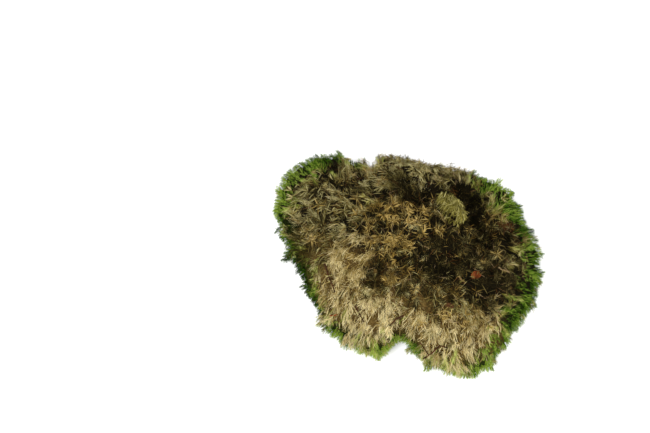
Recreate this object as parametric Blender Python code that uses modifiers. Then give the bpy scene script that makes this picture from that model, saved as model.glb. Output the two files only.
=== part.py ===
"""Moss clump: a cushion of moss lying on its green dome, with its brown matted underside up.

Units are metres and +Z is up. The origin is the middle of the clump's base, on the surface that it lies on.
"""

import math
import random

import bmesh
import bpy
import numpy as np
from mathutils import Matrix, Vector, noise
from mathutils.bvhtree import BVHTree

MM = 0.001

# Whole clump
WIDTH = 0.218
DEPTH = 0.196
HEIGHT = 0.069

# The rim is the widest line round the clump, and it lies lower at the near side (-Y)
RIM_HEIGHT = 0.034
RIM_TILT = 0.07
HEART = Vector((0.016, 0.006))

# The smooth form under the locks: its crown lies below their tips, and its dome is sunk past the resting face
CROWN_DROP = 0.004
SUNK_DOME = 0.004
CROWN_FULLNESS = 0.78
DOME_FULLNESS = 0.85
FORM_SEGMENTS = 120
FORM_RINGS = 72
SLOPE_STEP = 0.04

# Plan of the rim, counter-clockwise from the right, in millimetres
RIM_OUTLINE_MM = [
    (104, -8), (100, 20), (88, 55), (69, 74), (43, 83), (10, 90), (-13, 93), (-29, 84), (-44, 94), (-62, 95),
    (-85, 87), (-99, 71), (-104, 49), (-96, 18), (-82, -17), (-69, -38), (-64, -55), (-47, -66), (-27, -79),
    (-6, -64), (8, -75), (35, -93), (56, -88), (67, -77), (76, -66), (87, -51), (102, -25),
]

# Rises and hollows of the underside: middle x and y, half length and half width, turn in degrees, and rise
RELIEF_MM = {
    "far ridge": (12, 66, 42, 15, -6, 6.0),
    "left lobe": (-72, 62, 26, 20, 25, 5.0),
    "furrow beside the left lobe": (-34, 66, 30, 7, -72, -7.0),
    "golden patch": (4, 24, 26, 20, 0, 3.5),
    "dark hollow": (5, 47, 10, 6, -10, -10.0),
    "trench": (50, 35, 28, 6.5, -64, -15.0),
    "trench foot": (60, 11, 14, 7, -80, -8.0),
    "pale tuft": (35, 28, 17, 7, -48, 3.0),
    "right shoulder": (76, 34, 20, 24, -65, 3.5),
    "dark band": (34, -16, 54, 18, -14, -5.0),
    "straw patch": (-54, -18, 20, 34, 8, 3.5),
    "green-black hollow": (-20, -22, 13, 9, 20, -8.0),
    "left shade": (-86, 8, 12, 26, 20, -7.0),
    "left cavity": (-96, 30, 9, 7, 30, -9.0),
    "band pit left": (29, -40, 6, 8, 0, -8.0),
    "band pit right": (55, -35, 7, 8, 10, -9.0),
    "apron pit left": (-22, -47, 8, 6, 40, -7.0),
    "apron swell": (40, -72, 30, 15, 4, 4.0),
    "apron swell left": (-12, -58, 24, 12, -8, 3.0),
    "apron cleft": (50, -72, 3.5, 13, 12, -5.0),
    "apron cleft left": (15, -56, 3, 12, -6, -4.5),
}
RELIEF_STEEPNESS = 1.4
RELIEF_FADE = 1.6

# Soft lumps all over, and the locks that the matted shoots make
LUMP_SIZE = 0.026
LUMP_RISE = 0.0045
KNOB_SIZE = 0.010
KNOB_RISE = 0.0026
LUMP_UPRIGHTNESS = 1.8
LOCK_ROWS = 9
LOCK_SPACING = 0.0125
LOCK_LENGTH = (0.027, 0.016)
LOCK_LIFT_DEGREES = (27, 6)
LOCK_LIFT_PLAY = (-7, 9)
LOCK_SWING_DEGREES = 26
LOCK_SIZES = (0.7, 1.2)
LOCK_WIDTH = 0.0056
LOCK_THICKNESS = 0.0034
LOCK_TAPER = 0.35
LOCK_ROOT_DEPTH = 0.0035
FURTHEST_LOCK = 0.985

# Short locks round the rim
FRINGE_SPACING = 0.0085
FRINGE_LENGTH = 0.0155
FRINGE_ROOT_DEPTH = 0.0070
FRINGE_LATITUDES = (-22, 18)
FRINGE_LIFT_DEGREES = (38, 62)
FRINGE_SWING_DEGREES = 20
NEAR_FRINGE_DROOP_DEGREES = 10

# The pale tuft: one thick lock along its spine, and swept ones that leave it
PALE_TUFT_CORE = 0.0062
PALE_TUFT_LOCKS = 7
PALE_TUFT_OFFSET = Vector((0.006, -0.004))
PALE_TUFT_SWEEP = Vector((-0.61, 0.48, 0.35))
PALE_TUFT_SIZES = (0.85, 1.1)
PALE_TUFT_LENGTH = 0.015
PALE_TUFT_WIDTH = 0.0045
PALE_TUFT_THICKNESS = 0.0036

# Faceting
VOXEL = 0.0019
SOFTENING = 0.4
CLUMP_TRIANGLES = 8600
CURVE_SEGMENTS = 24

# Loose pieces that lie on the clump, which are lowered or raised on it in small steps
CLEARANCE = 0.0004
LAYING_STEP = 0.00015
TWIG_STEPS = 6
STEEPEST_STICK = 0.8
STICK_TRIALS = 17
STICK_TAPER = 0.35
STICK_SIDES_RESOLUTION = 1
WELD_DISTANCE = 0.00002

# Plan points in millimetres, thickest radius in metres and finish of each straight or bent stick
STICKS = {
    "twig_left": ([(-65, -14), (-62, -25), (-57, -39)], 0.0007, "dark_wood"),
    "twig_mid": ([(-5, -57), (-11, -61.5), (-16, -68)], 0.0008, "dark_wood"),
    "twig_low_left": ([(-42, -50), (-39, -56), (-35, -63)], 0.0006, "dark_wood"),
    "twig_pale": ([(69, -17), (74, -20), (78, -21)], 0.0007, "pale_wood"),
    "straw_mid": ([(-12.5, -46), (-11.5, -50), (-9.5, -53)], 0.0006, "pale_wood"),
    "straw_right": ([(38.5, -24.5), (41, -28), (43.5, -30)], 0.0006, "pale_wood"),
    "needle_red": ([(-61, -54), (-58, -55), (-55, -55)], 0.0006, "red_needle"),
}

# The forked twig of the apron: its side branch leaves its first bend
FORKED_PLAN_MM = [(10, -87), (14, -86), (18, -84), (22, -81), (28, -85)]
FORKED_RADIUS = 0.0007
BRANCH_REACH = Vector((-0.007, 0.010, 0.0040))
BRANCH_THINNESS = 0.7
BRANCH_STEPS = 5

# Scraps of dead leaf: middle in millimetres, length, width, turn in degrees and how strongly they curl
SCRAPS = {
    "leaf_scrap": ((51.5, -25.5), 0.0072, 0.0060, 25, 0.35),
    "bark_scrap": ((29.5, -53), 0.0070, 0.0034, -20, 0.30),
}
SCRAP_THICKNESS = 0.0007
SCRAP_POINTEDNESS = 2.4
SCRAP_CURL_ACROSS = 4.0
SCRAP_CURL_ALONG = 1.2

# Colour and roughness of each finish
FINISHES = {
    "moss_clump": ((0.16, 0.11, 0.05, 1.0), 0.95),
    "dark_wood": ((0.045, 0.028, 0.018, 1.0), 0.8),
    "pale_wood": ((0.55, 0.42, 0.33, 1.0), 0.7),
    "red_needle": ((0.30, 0.09, 0.04, 1.0), 0.6),
    "dry_leaf": ((0.42, 0.13, 0.05, 1.0), 0.7),
}


def clear_scene():
    for thing in list(bpy.data.objects):
        bpy.data.objects.remove(thing, do_unlink=True)


def make_material(name):
    colour, roughness = FINISHES[name]
    material = bpy.data.materials.new(name)
    material.use_nodes = True
    shader = material.node_tree.nodes["Principled BSDF"]
    shader.inputs["Base Color"].default_value = colour
    shader.inputs["Roughness"].default_value = roughness
    shader.inputs["Metallic"].default_value = 0.0
    return material


def add_object(name, mesh, material, collection):
    mesh.materials.clear()
    mesh.materials.append(material)
    thing = bpy.data.objects.new(name, mesh)
    collection.objects.link(thing)
    return thing


def closed_curve(points, steps):
    """Points along a smooth closed curve through the given ones."""
    points = np.array(points, dtype=float)
    before = np.roll(points, 1, axis=0)
    after = np.roll(points, -1, axis=0)
    beyond = np.roll(points, -2, axis=0)
    rows = []
    for step in range(steps):
        t = step / steps
        rows.append(0.5 * (
            2 * points
            + (after - before) * t
            + (2 * before - 5 * points + 4 * after - beyond) * t ** 2
            + (3 * points - before - 3 * after + beyond) * t ** 3
        ))
    return np.stack(rows, axis=1).reshape(-1, 2)


def rim_table():
    """Bearings round the heart of the clump, and the rim's distance from it at each."""
    curve = closed_curve(RIM_OUTLINE_MM, CURVE_SEGMENTS) * MM - np.array(HEART)
    return np.arctan2(curve[:, 1], curve[:, 0]), np.hypot(curve[:, 0], curve[:, 1])


RIM_BEARINGS, RIM_DISTANCES = rim_table()
MEAN_RIM_DISTANCE = float(RIM_DISTANCES.mean())


def between(ends, share):
    return ends[0] + (ends[1] - ends[0]) * share


def rim_distance(bearing):
    return float(np.interp(bearing, RIM_BEARINGS, RIM_DISTANCES, period=2 * math.pi))


def relief(x, y):
    """How far the named rises and hollows move the underside at a place, in metres."""
    total = 0.0
    for middle_x, middle_y, half_length, half_width, turn, rise in RELIEF_MM.values():
        across = x / MM - middle_x
        along = y / MM - middle_y
        angle = math.radians(turn)
        u = (across * math.cos(angle) + along * math.sin(angle)) / half_length
        v = (along * math.cos(angle) - across * math.sin(angle)) / half_width
        total += rise * math.exp(-(u * u + v * v) ** RELIEF_STEEPNESS)
    return total * MM


def bearing_and_reach(x, y):
    dx = x - HEART.x
    dy = y - HEART.y
    bearing = math.atan2(dy, dx)
    return bearing, math.hypot(dx, dy) / rim_distance(bearing)


def surface_point(direction):
    """Where the clump's smooth form lies in a direction of the unit sphere."""
    bearing = math.atan2(direction.y, direction.x)
    flat = min(1.0, math.hypot(direction.x, direction.y))
    upright = abs(direction.z)
    above = direction.z > 0
    fullness = CROWN_FULLNESS if above else DOME_FULLNESS
    distance = rim_distance(bearing) * flat ** fullness
    x = HEART.x + distance * math.cos(bearing)
    y = HEART.y + distance * math.sin(bearing)
    rim = RIM_HEIGHT + RIM_TILT * y
    climb = upright ** fullness
    if above:
        z = rim + (HEIGHT - CROWN_DROP - rim) * climb + relief(x, y) * min(1.0, RELIEF_FADE * climb)
    else:
        z = rim - (rim + SUNK_DOME) * climb
    place = Vector((x, y, z))
    outward = Vector((direction.x, direction.y, direction.z * LUMP_UPRIGHTNESS)).normalized()
    lump = noise.noise(place / LUMP_SIZE) * LUMP_RISE + noise.noise(place / KNOB_SIZE) * KNOB_RISE
    return place + outward * lump


def latitude_at(reach):
    """The latitude on the unit sphere that lands at a share of the way from the heart to the rim."""
    return math.acos(reach ** (1 / CROWN_FULLNESS))


def unit_direction(bearing, latitude):
    return Vector((
        math.cos(latitude) * math.cos(bearing),
        math.cos(latitude) * math.sin(bearing),
        math.sin(latitude),
    ))


def surface_frame(bearing, latitude):
    """Place, outward normal and the way down the slope away from the crown, at a bearing and latitude."""
    place = surface_point(unit_direction(bearing, latitude))
    beside = surface_point(unit_direction(bearing + SLOPE_STEP, latitude)) - place
    lower = surface_point(unit_direction(bearing, latitude - SLOPE_STEP)) - place
    normal = lower.cross(beside).normalized()
    return place, normal, (lower - normal * lower.dot(normal)).normalized()


def add_smooth_form(mesh):
    result = bmesh.ops.create_uvsphere(mesh, u_segments=FORM_SEGMENTS, v_segments=FORM_RINGS, radius=1.0)
    for corner in result["verts"]:
        corner.co = surface_point(corner.co)


def add_lock(mesh, root, along, normal, length, width, thickness):
    """A lock of matted shoots: a teardrop that starts inside the clump and tapers to its tip."""
    result = bmesh.ops.create_icosphere(mesh, subdivisions=2, radius=1.0)
    side = normal.cross(along).normalized()
    up = along.cross(side).normalized()
    turn = Matrix((along, side, up)).transposed()
    for corner in result["verts"]:
        forward = 0.5 * (corner.co.x + 1.0)
        taper = 1.0 - LOCK_TAPER * forward ** 2
        local = Vector((forward * length, corner.co.y * width * taper, corner.co.z * thickness * taper))
        corner.co = root + turn @ local


def add_matted_locks(mesh, chance):
    """Locks that flow from the heart of the underside out and down to the rim."""
    for row in range(LOCK_ROWS):
        ring_reach = (row + 0.45) / LOCK_ROWS
        count = max(4, round(ring_reach * 2 * math.pi * MEAN_RIM_DISTANCE / LOCK_SPACING))
        start = chance.uniform(0, 1)
        for index in range(count):
            bearing = 2 * math.pi * (index + start + chance.uniform(-0.3, 0.3)) / count
            reach = min(FURTHEST_LOCK, ring_reach + chance.uniform(-0.4, 0.4) / LOCK_ROWS)
            place, normal, down = surface_frame(bearing, latitude_at(reach))
            swing = Matrix.Rotation(math.radians(chance.gauss(0, LOCK_SWING_DEGREES)), 3, normal)
            towards_rim = reach ** 2
            lift = math.radians(between(LOCK_LIFT_DEGREES, towards_rim) + chance.uniform(*LOCK_LIFT_PLAY))
            along = (swing @ down) * math.cos(lift) + normal * math.sin(lift)
            size = chance.uniform(*LOCK_SIZES)
            length = between(LOCK_LENGTH, towards_rim) * size
            root = place - normal * LOCK_ROOT_DEPTH
            add_lock(mesh, root, along, normal, length, LOCK_WIDTH * size, LOCK_THICKNESS * size)


def add_fringe(mesh, chance):
    """Short locks round the rim, which make its outline ragged and hang over it at the near side."""
    count = round(2 * math.pi * MEAN_RIM_DISTANCE / FRINGE_SPACING)
    for index in range(count):
        bearing = 2 * math.pi * (index + chance.uniform(-0.35, 0.35)) / count
        latitude = math.radians(chance.uniform(*FRINGE_LATITUDES))
        place, normal, down = surface_frame(bearing, latitude)
        swing = Matrix.Rotation(math.radians(chance.gauss(0, FRINGE_SWING_DEGREES)), 3, normal)
        near_side = max(0.0, -math.sin(bearing))
        lift = math.radians(chance.uniform(*FRINGE_LIFT_DEGREES) - NEAR_FRINGE_DROOP_DEGREES * near_side)
        along = (swing @ down) * math.cos(lift) + normal * math.sin(lift)
        length = FRINGE_LENGTH * chance.uniform(0.8, 1.0) * (1.0 + 0.15 * near_side)
        root = place - normal * FRINGE_ROOT_DEPTH
        add_lock(mesh, root, along, normal, length, LOCK_WIDTH, LOCK_THICKNESS)


def add_pale_tuft(mesh, chance):
    """The tuft of pale shoots that stands out of the matted underside beside the trench."""
    middle_x, middle_y, half_length, _, turn, _ = RELIEF_MM["pale tuft"]
    spine = Vector((math.cos(math.radians(turn)), math.sin(math.radians(turn)), 0))
    up = Vector((0, 0, 1))
    middle = Vector((middle_x, middle_y, 0)) * MM
    half_spine = spine * half_length * MM
    upper_end = middle - half_spine
    upper_end.z = crown_height(upper_end.x, upper_end.y)
    add_lock(mesh, upper_end, spine, up, 2 * half_length * MM, PALE_TUFT_CORE, PALE_TUFT_CORE)
    along = (PALE_TUFT_SWEEP + spine * 0.5).normalized()
    for index in range(PALE_TUFT_LOCKS):
        share = index / (PALE_TUFT_LOCKS - 1) * 2 - 1
        root = middle + half_spine * (0.9 * share) + PALE_TUFT_OFFSET.to_3d()
        root.z = crown_height(root.x, root.y) + 0.001
        length = PALE_TUFT_LENGTH * chance.uniform(*PALE_TUFT_SIZES)
        add_lock(mesh, root, along, up, length, PALE_TUFT_WIDTH, PALE_TUFT_THICKNESS)


def crown_height(x, y):
    """Height of the smooth underside over a place inside the rim."""
    bearing, reach = bearing_and_reach(x, y)
    return surface_point(unit_direction(bearing, latitude_at(min(0.999, reach)))).z


def fused_mesh(raw, name, collection):
    """Fuses the overlapping forms in one skin, softens it and thins it to the clump's share of triangles."""
    carrier = bpy.data.objects.new(name, raw)
    collection.objects.link(carrier)
    remesh = carrier.modifiers.new("one skin", "REMESH")
    remesh.mode = "VOXEL"
    remesh.voxel_size = VOXEL
    remesh.use_smooth_shade = False
    smooth = carrier.modifiers.new("soften", "SMOOTH")
    smooth.factor = SOFTENING
    smooth.iterations = 1
    faces = evaluated_mesh(carrier, name)
    count = sum(len(face.vertices) - 2 for face in faces.polygons)
    thin = carrier.modifiers.new("thin", "DECIMATE")
    thin.ratio = CLUMP_TRIANGLES / count
    bpy.data.meshes.remove(faces)
    result = evaluated_mesh(carrier, name)
    bpy.data.objects.remove(carrier, do_unlink=True)
    return result


def keep_largest_body(mesh):
    """Drops lock tips that the skin or the flat cut left loose, so that one body stays."""
    work = bmesh.new()
    work.from_mesh(mesh)
    waiting = set(work.verts)
    bodies = []
    while waiting:
        body = set()
        edge_of_body = [waiting.pop()]
        while edge_of_body:
            corner = edge_of_body.pop()
            body.add(corner)
            for edge in corner.link_edges:
                other = edge.other_vert(corner)
                if other in waiting:
                    waiting.remove(other)
                    edge_of_body.append(other)
        bodies.append(body)
    bodies.sort(key=len)
    for crumbs in bodies[:-1]:
        bmesh.ops.delete(work, geom=list(crumbs), context="VERTS")
    work.to_mesh(mesh)
    work.free()


def evaluated_mesh(thing, name):
    graph = bpy.context.evaluated_depsgraph_get()
    graph.update()
    mesh = bpy.data.meshes.new_from_object(thing.evaluated_get(graph))
    mesh.name = name
    return mesh


def fit_to_size(mesh):
    """Centres the clump over the origin and brings its width and depth to the driving sizes."""
    places = np.array([corner.co for corner in mesh.vertices])
    low = places.min(axis=0)
    high = places.max(axis=0)
    middle = 0.5 * (low + high)
    scale = Matrix.Diagonal((WIDTH / (high[0] - low[0]), DEPTH / (high[1] - low[1]), HEIGHT / high[2], 1.0))
    mesh.transform(scale @ Matrix.Translation((-middle[0], -middle[1], 0.0)))


def cut_resting_face(mesh):
    """Cuts the dome off flat where the clump's weight presses it on the surface."""
    work = bmesh.new()
    work.from_mesh(mesh)
    cut = bmesh.ops.bisect_plane(
        work,
        geom=work.verts[:] + work.edges[:] + work.faces[:],
        plane_co=(0, 0, 0),
        plane_no=(0, 0, 1),
        clear_inner=True,
    )
    rim = [part for part in cut["geom_cut"] if isinstance(part, bmesh.types.BMEdge)]
    bmesh.ops.holes_fill(work, edges=rim)
    bmesh.ops.triangulate(work, faces=work.faces[:])
    bmesh.ops.recalc_face_normals(work, faces=work.faces[:])
    work.to_mesh(mesh)
    work.free()


def build_clump(collection):
    chance = random.Random(11)
    raw = bmesh.new()
    add_smooth_form(raw)
    add_matted_locks(raw, chance)
    add_fringe(raw, chance)
    add_pale_tuft(raw, chance)
    mesh = bpy.data.meshes.new("moss_clump")
    raw.to_mesh(mesh)
    raw.free()
    mesh = fused_mesh(mesh, "moss_clump", collection)
    fit_to_size(mesh)
    cut_resting_face(mesh)
    keep_largest_body(mesh)
    return add_object("moss_clump", mesh, make_material("moss_clump"), collection)


def surface_tree(thing):
    work = bmesh.new()
    work.from_mesh(thing.data)
    tree = BVHTree.FromBMesh(work)
    work.free()
    return tree


def height_over(tree, x, y):
    hit = tree.ray_cast(Vector((x, y, 1.0)), Vector((0, 0, -1)))[0]
    return hit.z if hit else 0.0


def laid_route(tree, plan_mm, radius):
    """A stiff stick's route: its plan points, at the slope on which it lies closest to the clump."""
    flat = []
    for first, second in zip(plan_mm[:-1], plan_mm[1:]):
        for step in range(TWIG_STEPS):
            flat.append((Vector(first).lerp(Vector(second), step / TWIG_STEPS)) * MM)
    flat.append(Vector(plan_mm[-1]) * MM)
    shares = np.linspace(0.0, 1.0, len(flat))
    heights = np.array([height_over(tree, place.x, place.y) for place in flat])
    length = (flat[-1] - flat[0]).length
    routes = []
    for slope in np.linspace(-STEEPEST_STICK, STEEPEST_STICK, STICK_TRIALS):
        rise = slope * length * shares
        start_height = (heights - rise).max()
        points = [Vector((place.x, place.y, start_height + up)) for place, up in zip(flat, rise)]
        points = lifted_clear(tree, points, radius)
        gap = sum(point.z for point in points) - heights.sum()
        routes.append((gap, points))
    return min(routes, key=lambda route: route[0])[1]


def lifted_clear(tree, route, radius):
    """The route raised in small steps until no point of it is nearer the clump than its radius."""
    while any(is_too_near(tree, place, radius) for place in route):
        route = [place + Vector((0, 0, LAYING_STEP)) for place in route]
    return route


def is_too_near(tree, place, radius):
    if place.z < height_over(tree, place.x, place.y):
        return True
    return tree.find_nearest(place)[3] < radius + CLEARANCE


def add_stick(name, branches, material, collection):
    """A stick of one or more routes with their radii, each a tube; later ones grow from the first."""
    tubes = []
    for route, radius in branches:
        curve = bpy.data.curves.new(name, "CURVE")
        curve.dimensions = "3D"
        curve.bevel_depth = radius
        curve.bevel_resolution = STICK_SIDES_RESOLUTION
        curve.use_fill_caps = True
        spline = curve.splines.new("POLY")
        spline.points.add(len(route) - 1)
        for index, place in enumerate(route):
            spline.points[index].co = (*place, 1.0)
            spline.points[index].radius = 1.0 - STICK_TAPER * index / (len(route) - 1)
        tube = bpy.data.objects.new(name, curve)
        collection.objects.link(tube)
        mesh = evaluated_mesh(tube, name)
        bpy.data.objects.remove(tube, do_unlink=True)
        work = bmesh.new()
        work.from_mesh(mesh)
        bmesh.ops.remove_doubles(work, verts=work.verts[:], dist=WELD_DISTANCE)
        bmesh.ops.recalc_face_normals(work, faces=work.faces[:])
        work.to_mesh(mesh)
        work.free()
        tubes.append(mesh)
    stick = add_object(name, tubes[0], material, collection)
    for index, mesh in enumerate(tubes[1:]):
        fuse(stick, mesh, f"{name}_branch_{index}")
    return stick


def fuse(thing, mesh, name):
    """Joins another closed mesh to a thing with a Boolean union."""
    cutters = bpy.data.collections.get("cutters") or new_collection("cutters")
    other = bpy.data.objects.new(name, mesh)
    other.hide_render = True
    other.display_type = "WIRE"
    cutters.objects.link(other)
    union = thing.modifiers.new(name, "BOOLEAN")
    union.operation = "UNION"
    union.object = other


def new_collection(name):
    collection = bpy.data.collections.new(name)
    bpy.context.scene.collection.children.link(collection)
    return collection


def build_sticks(tree, materials, collection):
    for name, (plan, radius, finish) in STICKS.items():
        add_stick(name, [(laid_route(tree, plan, radius), radius)], materials[finish], collection)


def build_forked_twig(tree, material, collection):
    main = laid_route(tree, FORKED_PLAN_MM, FORKED_RADIUS)
    elbow = main[TWIG_STEPS]
    branch = [elbow + BRANCH_REACH * (step / BRANCH_STEPS) for step in range(BRANCH_STEPS + 1)]
    branches = [(main, FORKED_RADIUS), (branch, FORKED_RADIUS * BRANCH_THINNESS)]
    add_stick("twig_forked", branches, material, collection)


def add_scrap(name, tree, middle_mm, length, width, turn, curl, material, collection):
    """A scrap of dead leaf: a small curled sheet with pointed ends, lying on the clump."""
    work = bmesh.new()
    bmesh.ops.create_grid(work, x_segments=6, y_segments=4, size=0.5)
    for corner in work.verts:
        x, y = corner.co.x, corner.co.y
        narrowing = 1.0 - SCRAP_POINTEDNESS * x * x
        height = curl * (SCRAP_CURL_ACROSS * y * y * width - SCRAP_CURL_ALONG * x * x * length)
        corner.co = Vector((x * length, y * width * narrowing, height))
    mesh = bpy.data.meshes.new(name)
    work.to_mesh(mesh)
    work.free()
    mesh.transform(Matrix.Rotation(math.radians(turn), 4, "Z"))
    middle = Vector(middle_mm) * MM
    top = max(height_over(tree, middle.x + c.co.x, middle.y + c.co.y) for c in mesh.vertices)
    lift = top + curl * length + SCRAP_THICKNESS
    places = [corner.co + Vector((middle.x, middle.y, lift)) for corner in mesh.vertices]
    while not any(is_too_near(tree, place, SCRAP_THICKNESS) for place in places):
        places = [place - Vector((0, 0, LAYING_STEP)) for place in places]
    height = places[0].z - mesh.vertices[0].co.z + LAYING_STEP
    mesh.transform(Matrix.Translation((middle.x, middle.y, height)))
    scrap = add_object(name, mesh, material, collection)
    wall = scrap.modifiers.new("thickness", "SOLIDIFY")
    wall.thickness = SCRAP_THICKNESS
    wall.offset = 0.0
    return scrap


def build_scraps(tree, material, collection):
    for name, (middle_mm, length, width, turn, curl) in SCRAPS.items():
        add_scrap(name, tree, middle_mm, length, width, turn, curl, material, collection)


def main():
    clear_scene()
    collection = new_collection("moss clump")
    clump = build_clump(collection)
    tree = surface_tree(clump)
    materials = {name: make_material(name) for name in FINISHES if name != "moss_clump"}
    build_sticks(tree, materials, collection)
    build_forked_twig(tree, materials["dark_wood"], collection)
    build_scraps(tree, materials["dry_leaf"], collection)


main()
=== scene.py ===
"""The looks of an overturned moss clump: humus core, dead and living shoots, twigs and scraps."""

import math
from collections import namedtuple

import bpy
import numpy as np
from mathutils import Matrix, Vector, noise
from mathutils.bvhtree import BVHTree


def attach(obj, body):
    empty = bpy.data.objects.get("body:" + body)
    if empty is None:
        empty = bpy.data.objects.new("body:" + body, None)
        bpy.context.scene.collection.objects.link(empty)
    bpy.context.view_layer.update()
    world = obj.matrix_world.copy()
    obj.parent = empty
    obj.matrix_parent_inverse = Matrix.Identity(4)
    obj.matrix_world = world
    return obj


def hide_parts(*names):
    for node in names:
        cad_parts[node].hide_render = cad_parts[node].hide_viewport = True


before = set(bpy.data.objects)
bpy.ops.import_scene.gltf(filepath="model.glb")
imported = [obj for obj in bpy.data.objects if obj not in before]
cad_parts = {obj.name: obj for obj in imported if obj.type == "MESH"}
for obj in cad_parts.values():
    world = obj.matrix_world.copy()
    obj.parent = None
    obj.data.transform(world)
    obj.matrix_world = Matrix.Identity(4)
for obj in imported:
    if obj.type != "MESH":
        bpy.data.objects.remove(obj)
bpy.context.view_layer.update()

MM = 0.001
CLUMP = "moss_clump"

# The photograph's frame, and where the clump's origin lies in it
PHOTO_WIDTH = 650
PHOTO_HEIGHT = 433
ORIGIN_PIXEL = (405.1, 278.7)
CAMERA_LENS = 85.0
CAMERA_SENSOR = 36.0
CAMERA_DISTANCE = 1.24
CAMERA_ELEVATION = math.radians(60)

# How shoots grow: length, number of leaves, a leaf's length and width in metres, how far the lowest and the
# highest leaf spread in degrees, curl, bend of the stem, height of the first leaf as a share of the length,
# and the share of a leaf's way from dull to bright that its place on the shoot decides: lower leaves are
# darker, partly their own colour and partly painted shade deep in the mat
Shoot = namedtuple("Shoot", "length leaves leaf width spread curl bend first_leaf by_place")
SHOOT_KINDS = {
    "straw": Shoot(0.0165, 15, 0.0088, 0.00070, (30, 12), 0.16, 0.22, 0.30, 0.36),
    "golden": Shoot(0.0120, 13, 0.0074, 0.00068, (70, 28), 0.50, 0.20, 0.30, 0.25),
    "olive": Shoot(0.0145, 14, 0.0076, 0.00068, (38, 15), 0.20, 0.20, 0.30, 0.36),
    "dark": Shoot(0.0115, 13, 0.0064, 0.00064, (60, 26), 0.34, 0.20, 0.30, 0.25),
    "khaki": Shoot(0.0125, 14, 0.0066, 0.00068, (40, 16), 0.24, 0.24, 0.30, 0.30),
    "rust": Shoot(0.0110, 11, 0.0064, 0.00076, (56, 26), 0.34, 0.16, 0.30, 0.25),
    "tipped": Shoot(0.0145, 13, 0.0070, 0.00070, (30, 13), 0.12, 0.16, 0.30, 0.72),
    "green": Shoot(0.0080, 11, 0.0029, 0.00062, (58, 20), 0.00, 0.08, 0.26, 0.34),
    "stalk": Shoot(0.0090, 0, 0.0000, 0.00000, (0, 0), 0.00, 0.35, 0.30, 0.25),
}
LAST_LEAF = 0.84
GOLDEN_ANGLE = math.radians(137.5)
# A stem's thickness both ways, the brightness of its top and its shift of tone
LEAFY_STEM = ((0.0008, 0.0016), 0.30, -0.1)
BARE_STALK = ((0.00028, 0.00050), 1.0, 0.0)
STEM_LENGTH = 0.92
# How the leaves of one shoot differ in size, width and curl, and in tone, height, spread in degrees and turn
LEAF_SIZES, LEAF_WIDTHS, LEAF_CURLS = (0.72, 1.18), (0.8, 1.2), (0.3, 1.7)
LEAF_TONE_PLAY, LEAF_FOOT_PLAY, LEAF_SPREAD_PLAY, LEAF_TURN_PLAY = 0.20, 0.03, 5, 0.3
# The spread closes faster near the foot than near the top
SPREAD_POWER = 0.8
LEAF_THICKNESS = 0.7
SHOOT_VARIANTS = 6
SHOOTS_IN_PIECE = 2600

# Most shoots on the underside, the living dome and the pressed face, and the size of a cell that holds one
# of them
UNDERSIDE_SHOOTS, UNDERSIDE_CELL = 6400, 0.0026
DOME_SHOOTS, DOME_CELL = 6300, 0.0025
PRESSED_SHOOTS, PRESSED_CELL = 300, 0.0055
SPOTS = 90_000
# Their lengths as shares of the usual one, and how far their tips stand out from the surface
UNDERSIDE_LENGTHS, UNDERSIDE_TIPS = (0.75, 1.15), 0.0004
DOME_LENGTHS, DOME_TIPS = (0.8, 1.1), 0.0010
PRESSED_LENGTHS, PRESSED_TIPS = (1.0, 1.3), -0.0006
# How high they stand: in degrees by how upright the form is, and in radians on the pressed face, at least
# and at most
UNDERSIDE_LIFTS = ([0.0, 0.4, 0.8, 1.0], [46, 34, 25, 22])
DOME_LIFTS = ([-1.0, -0.4, 0.0], [78, 66, 50])
PRESSED_LIFT = 0.35
FLATTEST_LIFT, STEEPEST_LIFT = 0.12, 1.45
# Their lighter and darker patches: strength, size of lumps and seed of each noise, and how much single
# shoots differ
UNDERSIDE_PATCHES, UNDERSIDE_TONE_PLAY = ((0.12, 0.020, 6), (0.10, 0.007, 7)), 0.15
DOME_PATCHES, DOME_TONE_PLAY = ((0.14, 0.022, 8), (0.10, 0.008, 9)), 0.12
PRESSED_TONE = 0.36
# Painted shade and light: a hollow this deep is painted darker by this much, and a crest painted lighter by
# up to this share of it
HOLLOW_DEPTH, HOLLOW_SHADE, CREST_LIGHT = 0.004, 0.20, 0.6
# Brown shoots with green tips: between which greenness, how many of the shoots there, and their tone
TIPPED_LIFE, TIPPED_SHARE, TIPPED_TONE = (-0.40, 0.15), 0.45, 0.60
# The dome's shoots are green above this greenness, but for this share, and below it this share has green
# tips. The brown ones lie flatter, by radians
DOME_LIFE, DOME_BROWNED, DOME_TIPPED, BROWN_FLATTER = -0.05, 0.03, 0.35, 0.35

LOCK_CELL = 0.0105
LOCK_RELIEF = 0.0070
# A lock is longer than it is wide: its reach across as a share of that along it
LOCK_SLENDERNESS = 0.55
# Tips draw together to a place this far ahead of the lock's middle, and mostly across the lock
LOCK_ONWARD = 0.004
LOCK_COMBED = 0.7
# Share of a lock's middle in the place that decides its shoots' kind, and how much locks differ in
# greenness, rise and lift, by this much and more where they stray
LOCK_SHARE = 0.6
LOCK_LIFE_PLAY, LOCK_RISE_PLAY, LOCK_LIFT_PLAY, STRAYING_LIFT_PLAY = 0.22, 0.0006, 0.10, 0.16
# A lock's edge is this share of its cell wide. Shoots rise from the first of these places between edge
# and middle, and are lighter from the second: painted light in a lock's middle and painted shade at its edge,
# between locks
LOCK_EDGE, LOCK_CREST, LOCK_PAINTED_LIGHT = 0.5, 0.55, 0.6
# Tips of the rim stand out by this much, less and less over this width inward
RIM_FUZZ = 0.0016
RIM_FUZZ_WIDTH = 0.012
HIGHEST_RISE = 0.0026
# A shoot whose root lies less deep than this under the surface would hang outside: it is raised and shortened
ROOTED_DEPTH = 0.001
LEANING_KEPT, LENGTH_KEPT = 0.45, 0.85
# Shoots of hollows and gaps, darker than this tone, end deeper
SUNK_TONE = 0.22
SUNK_DEPTH = 0.0034
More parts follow.
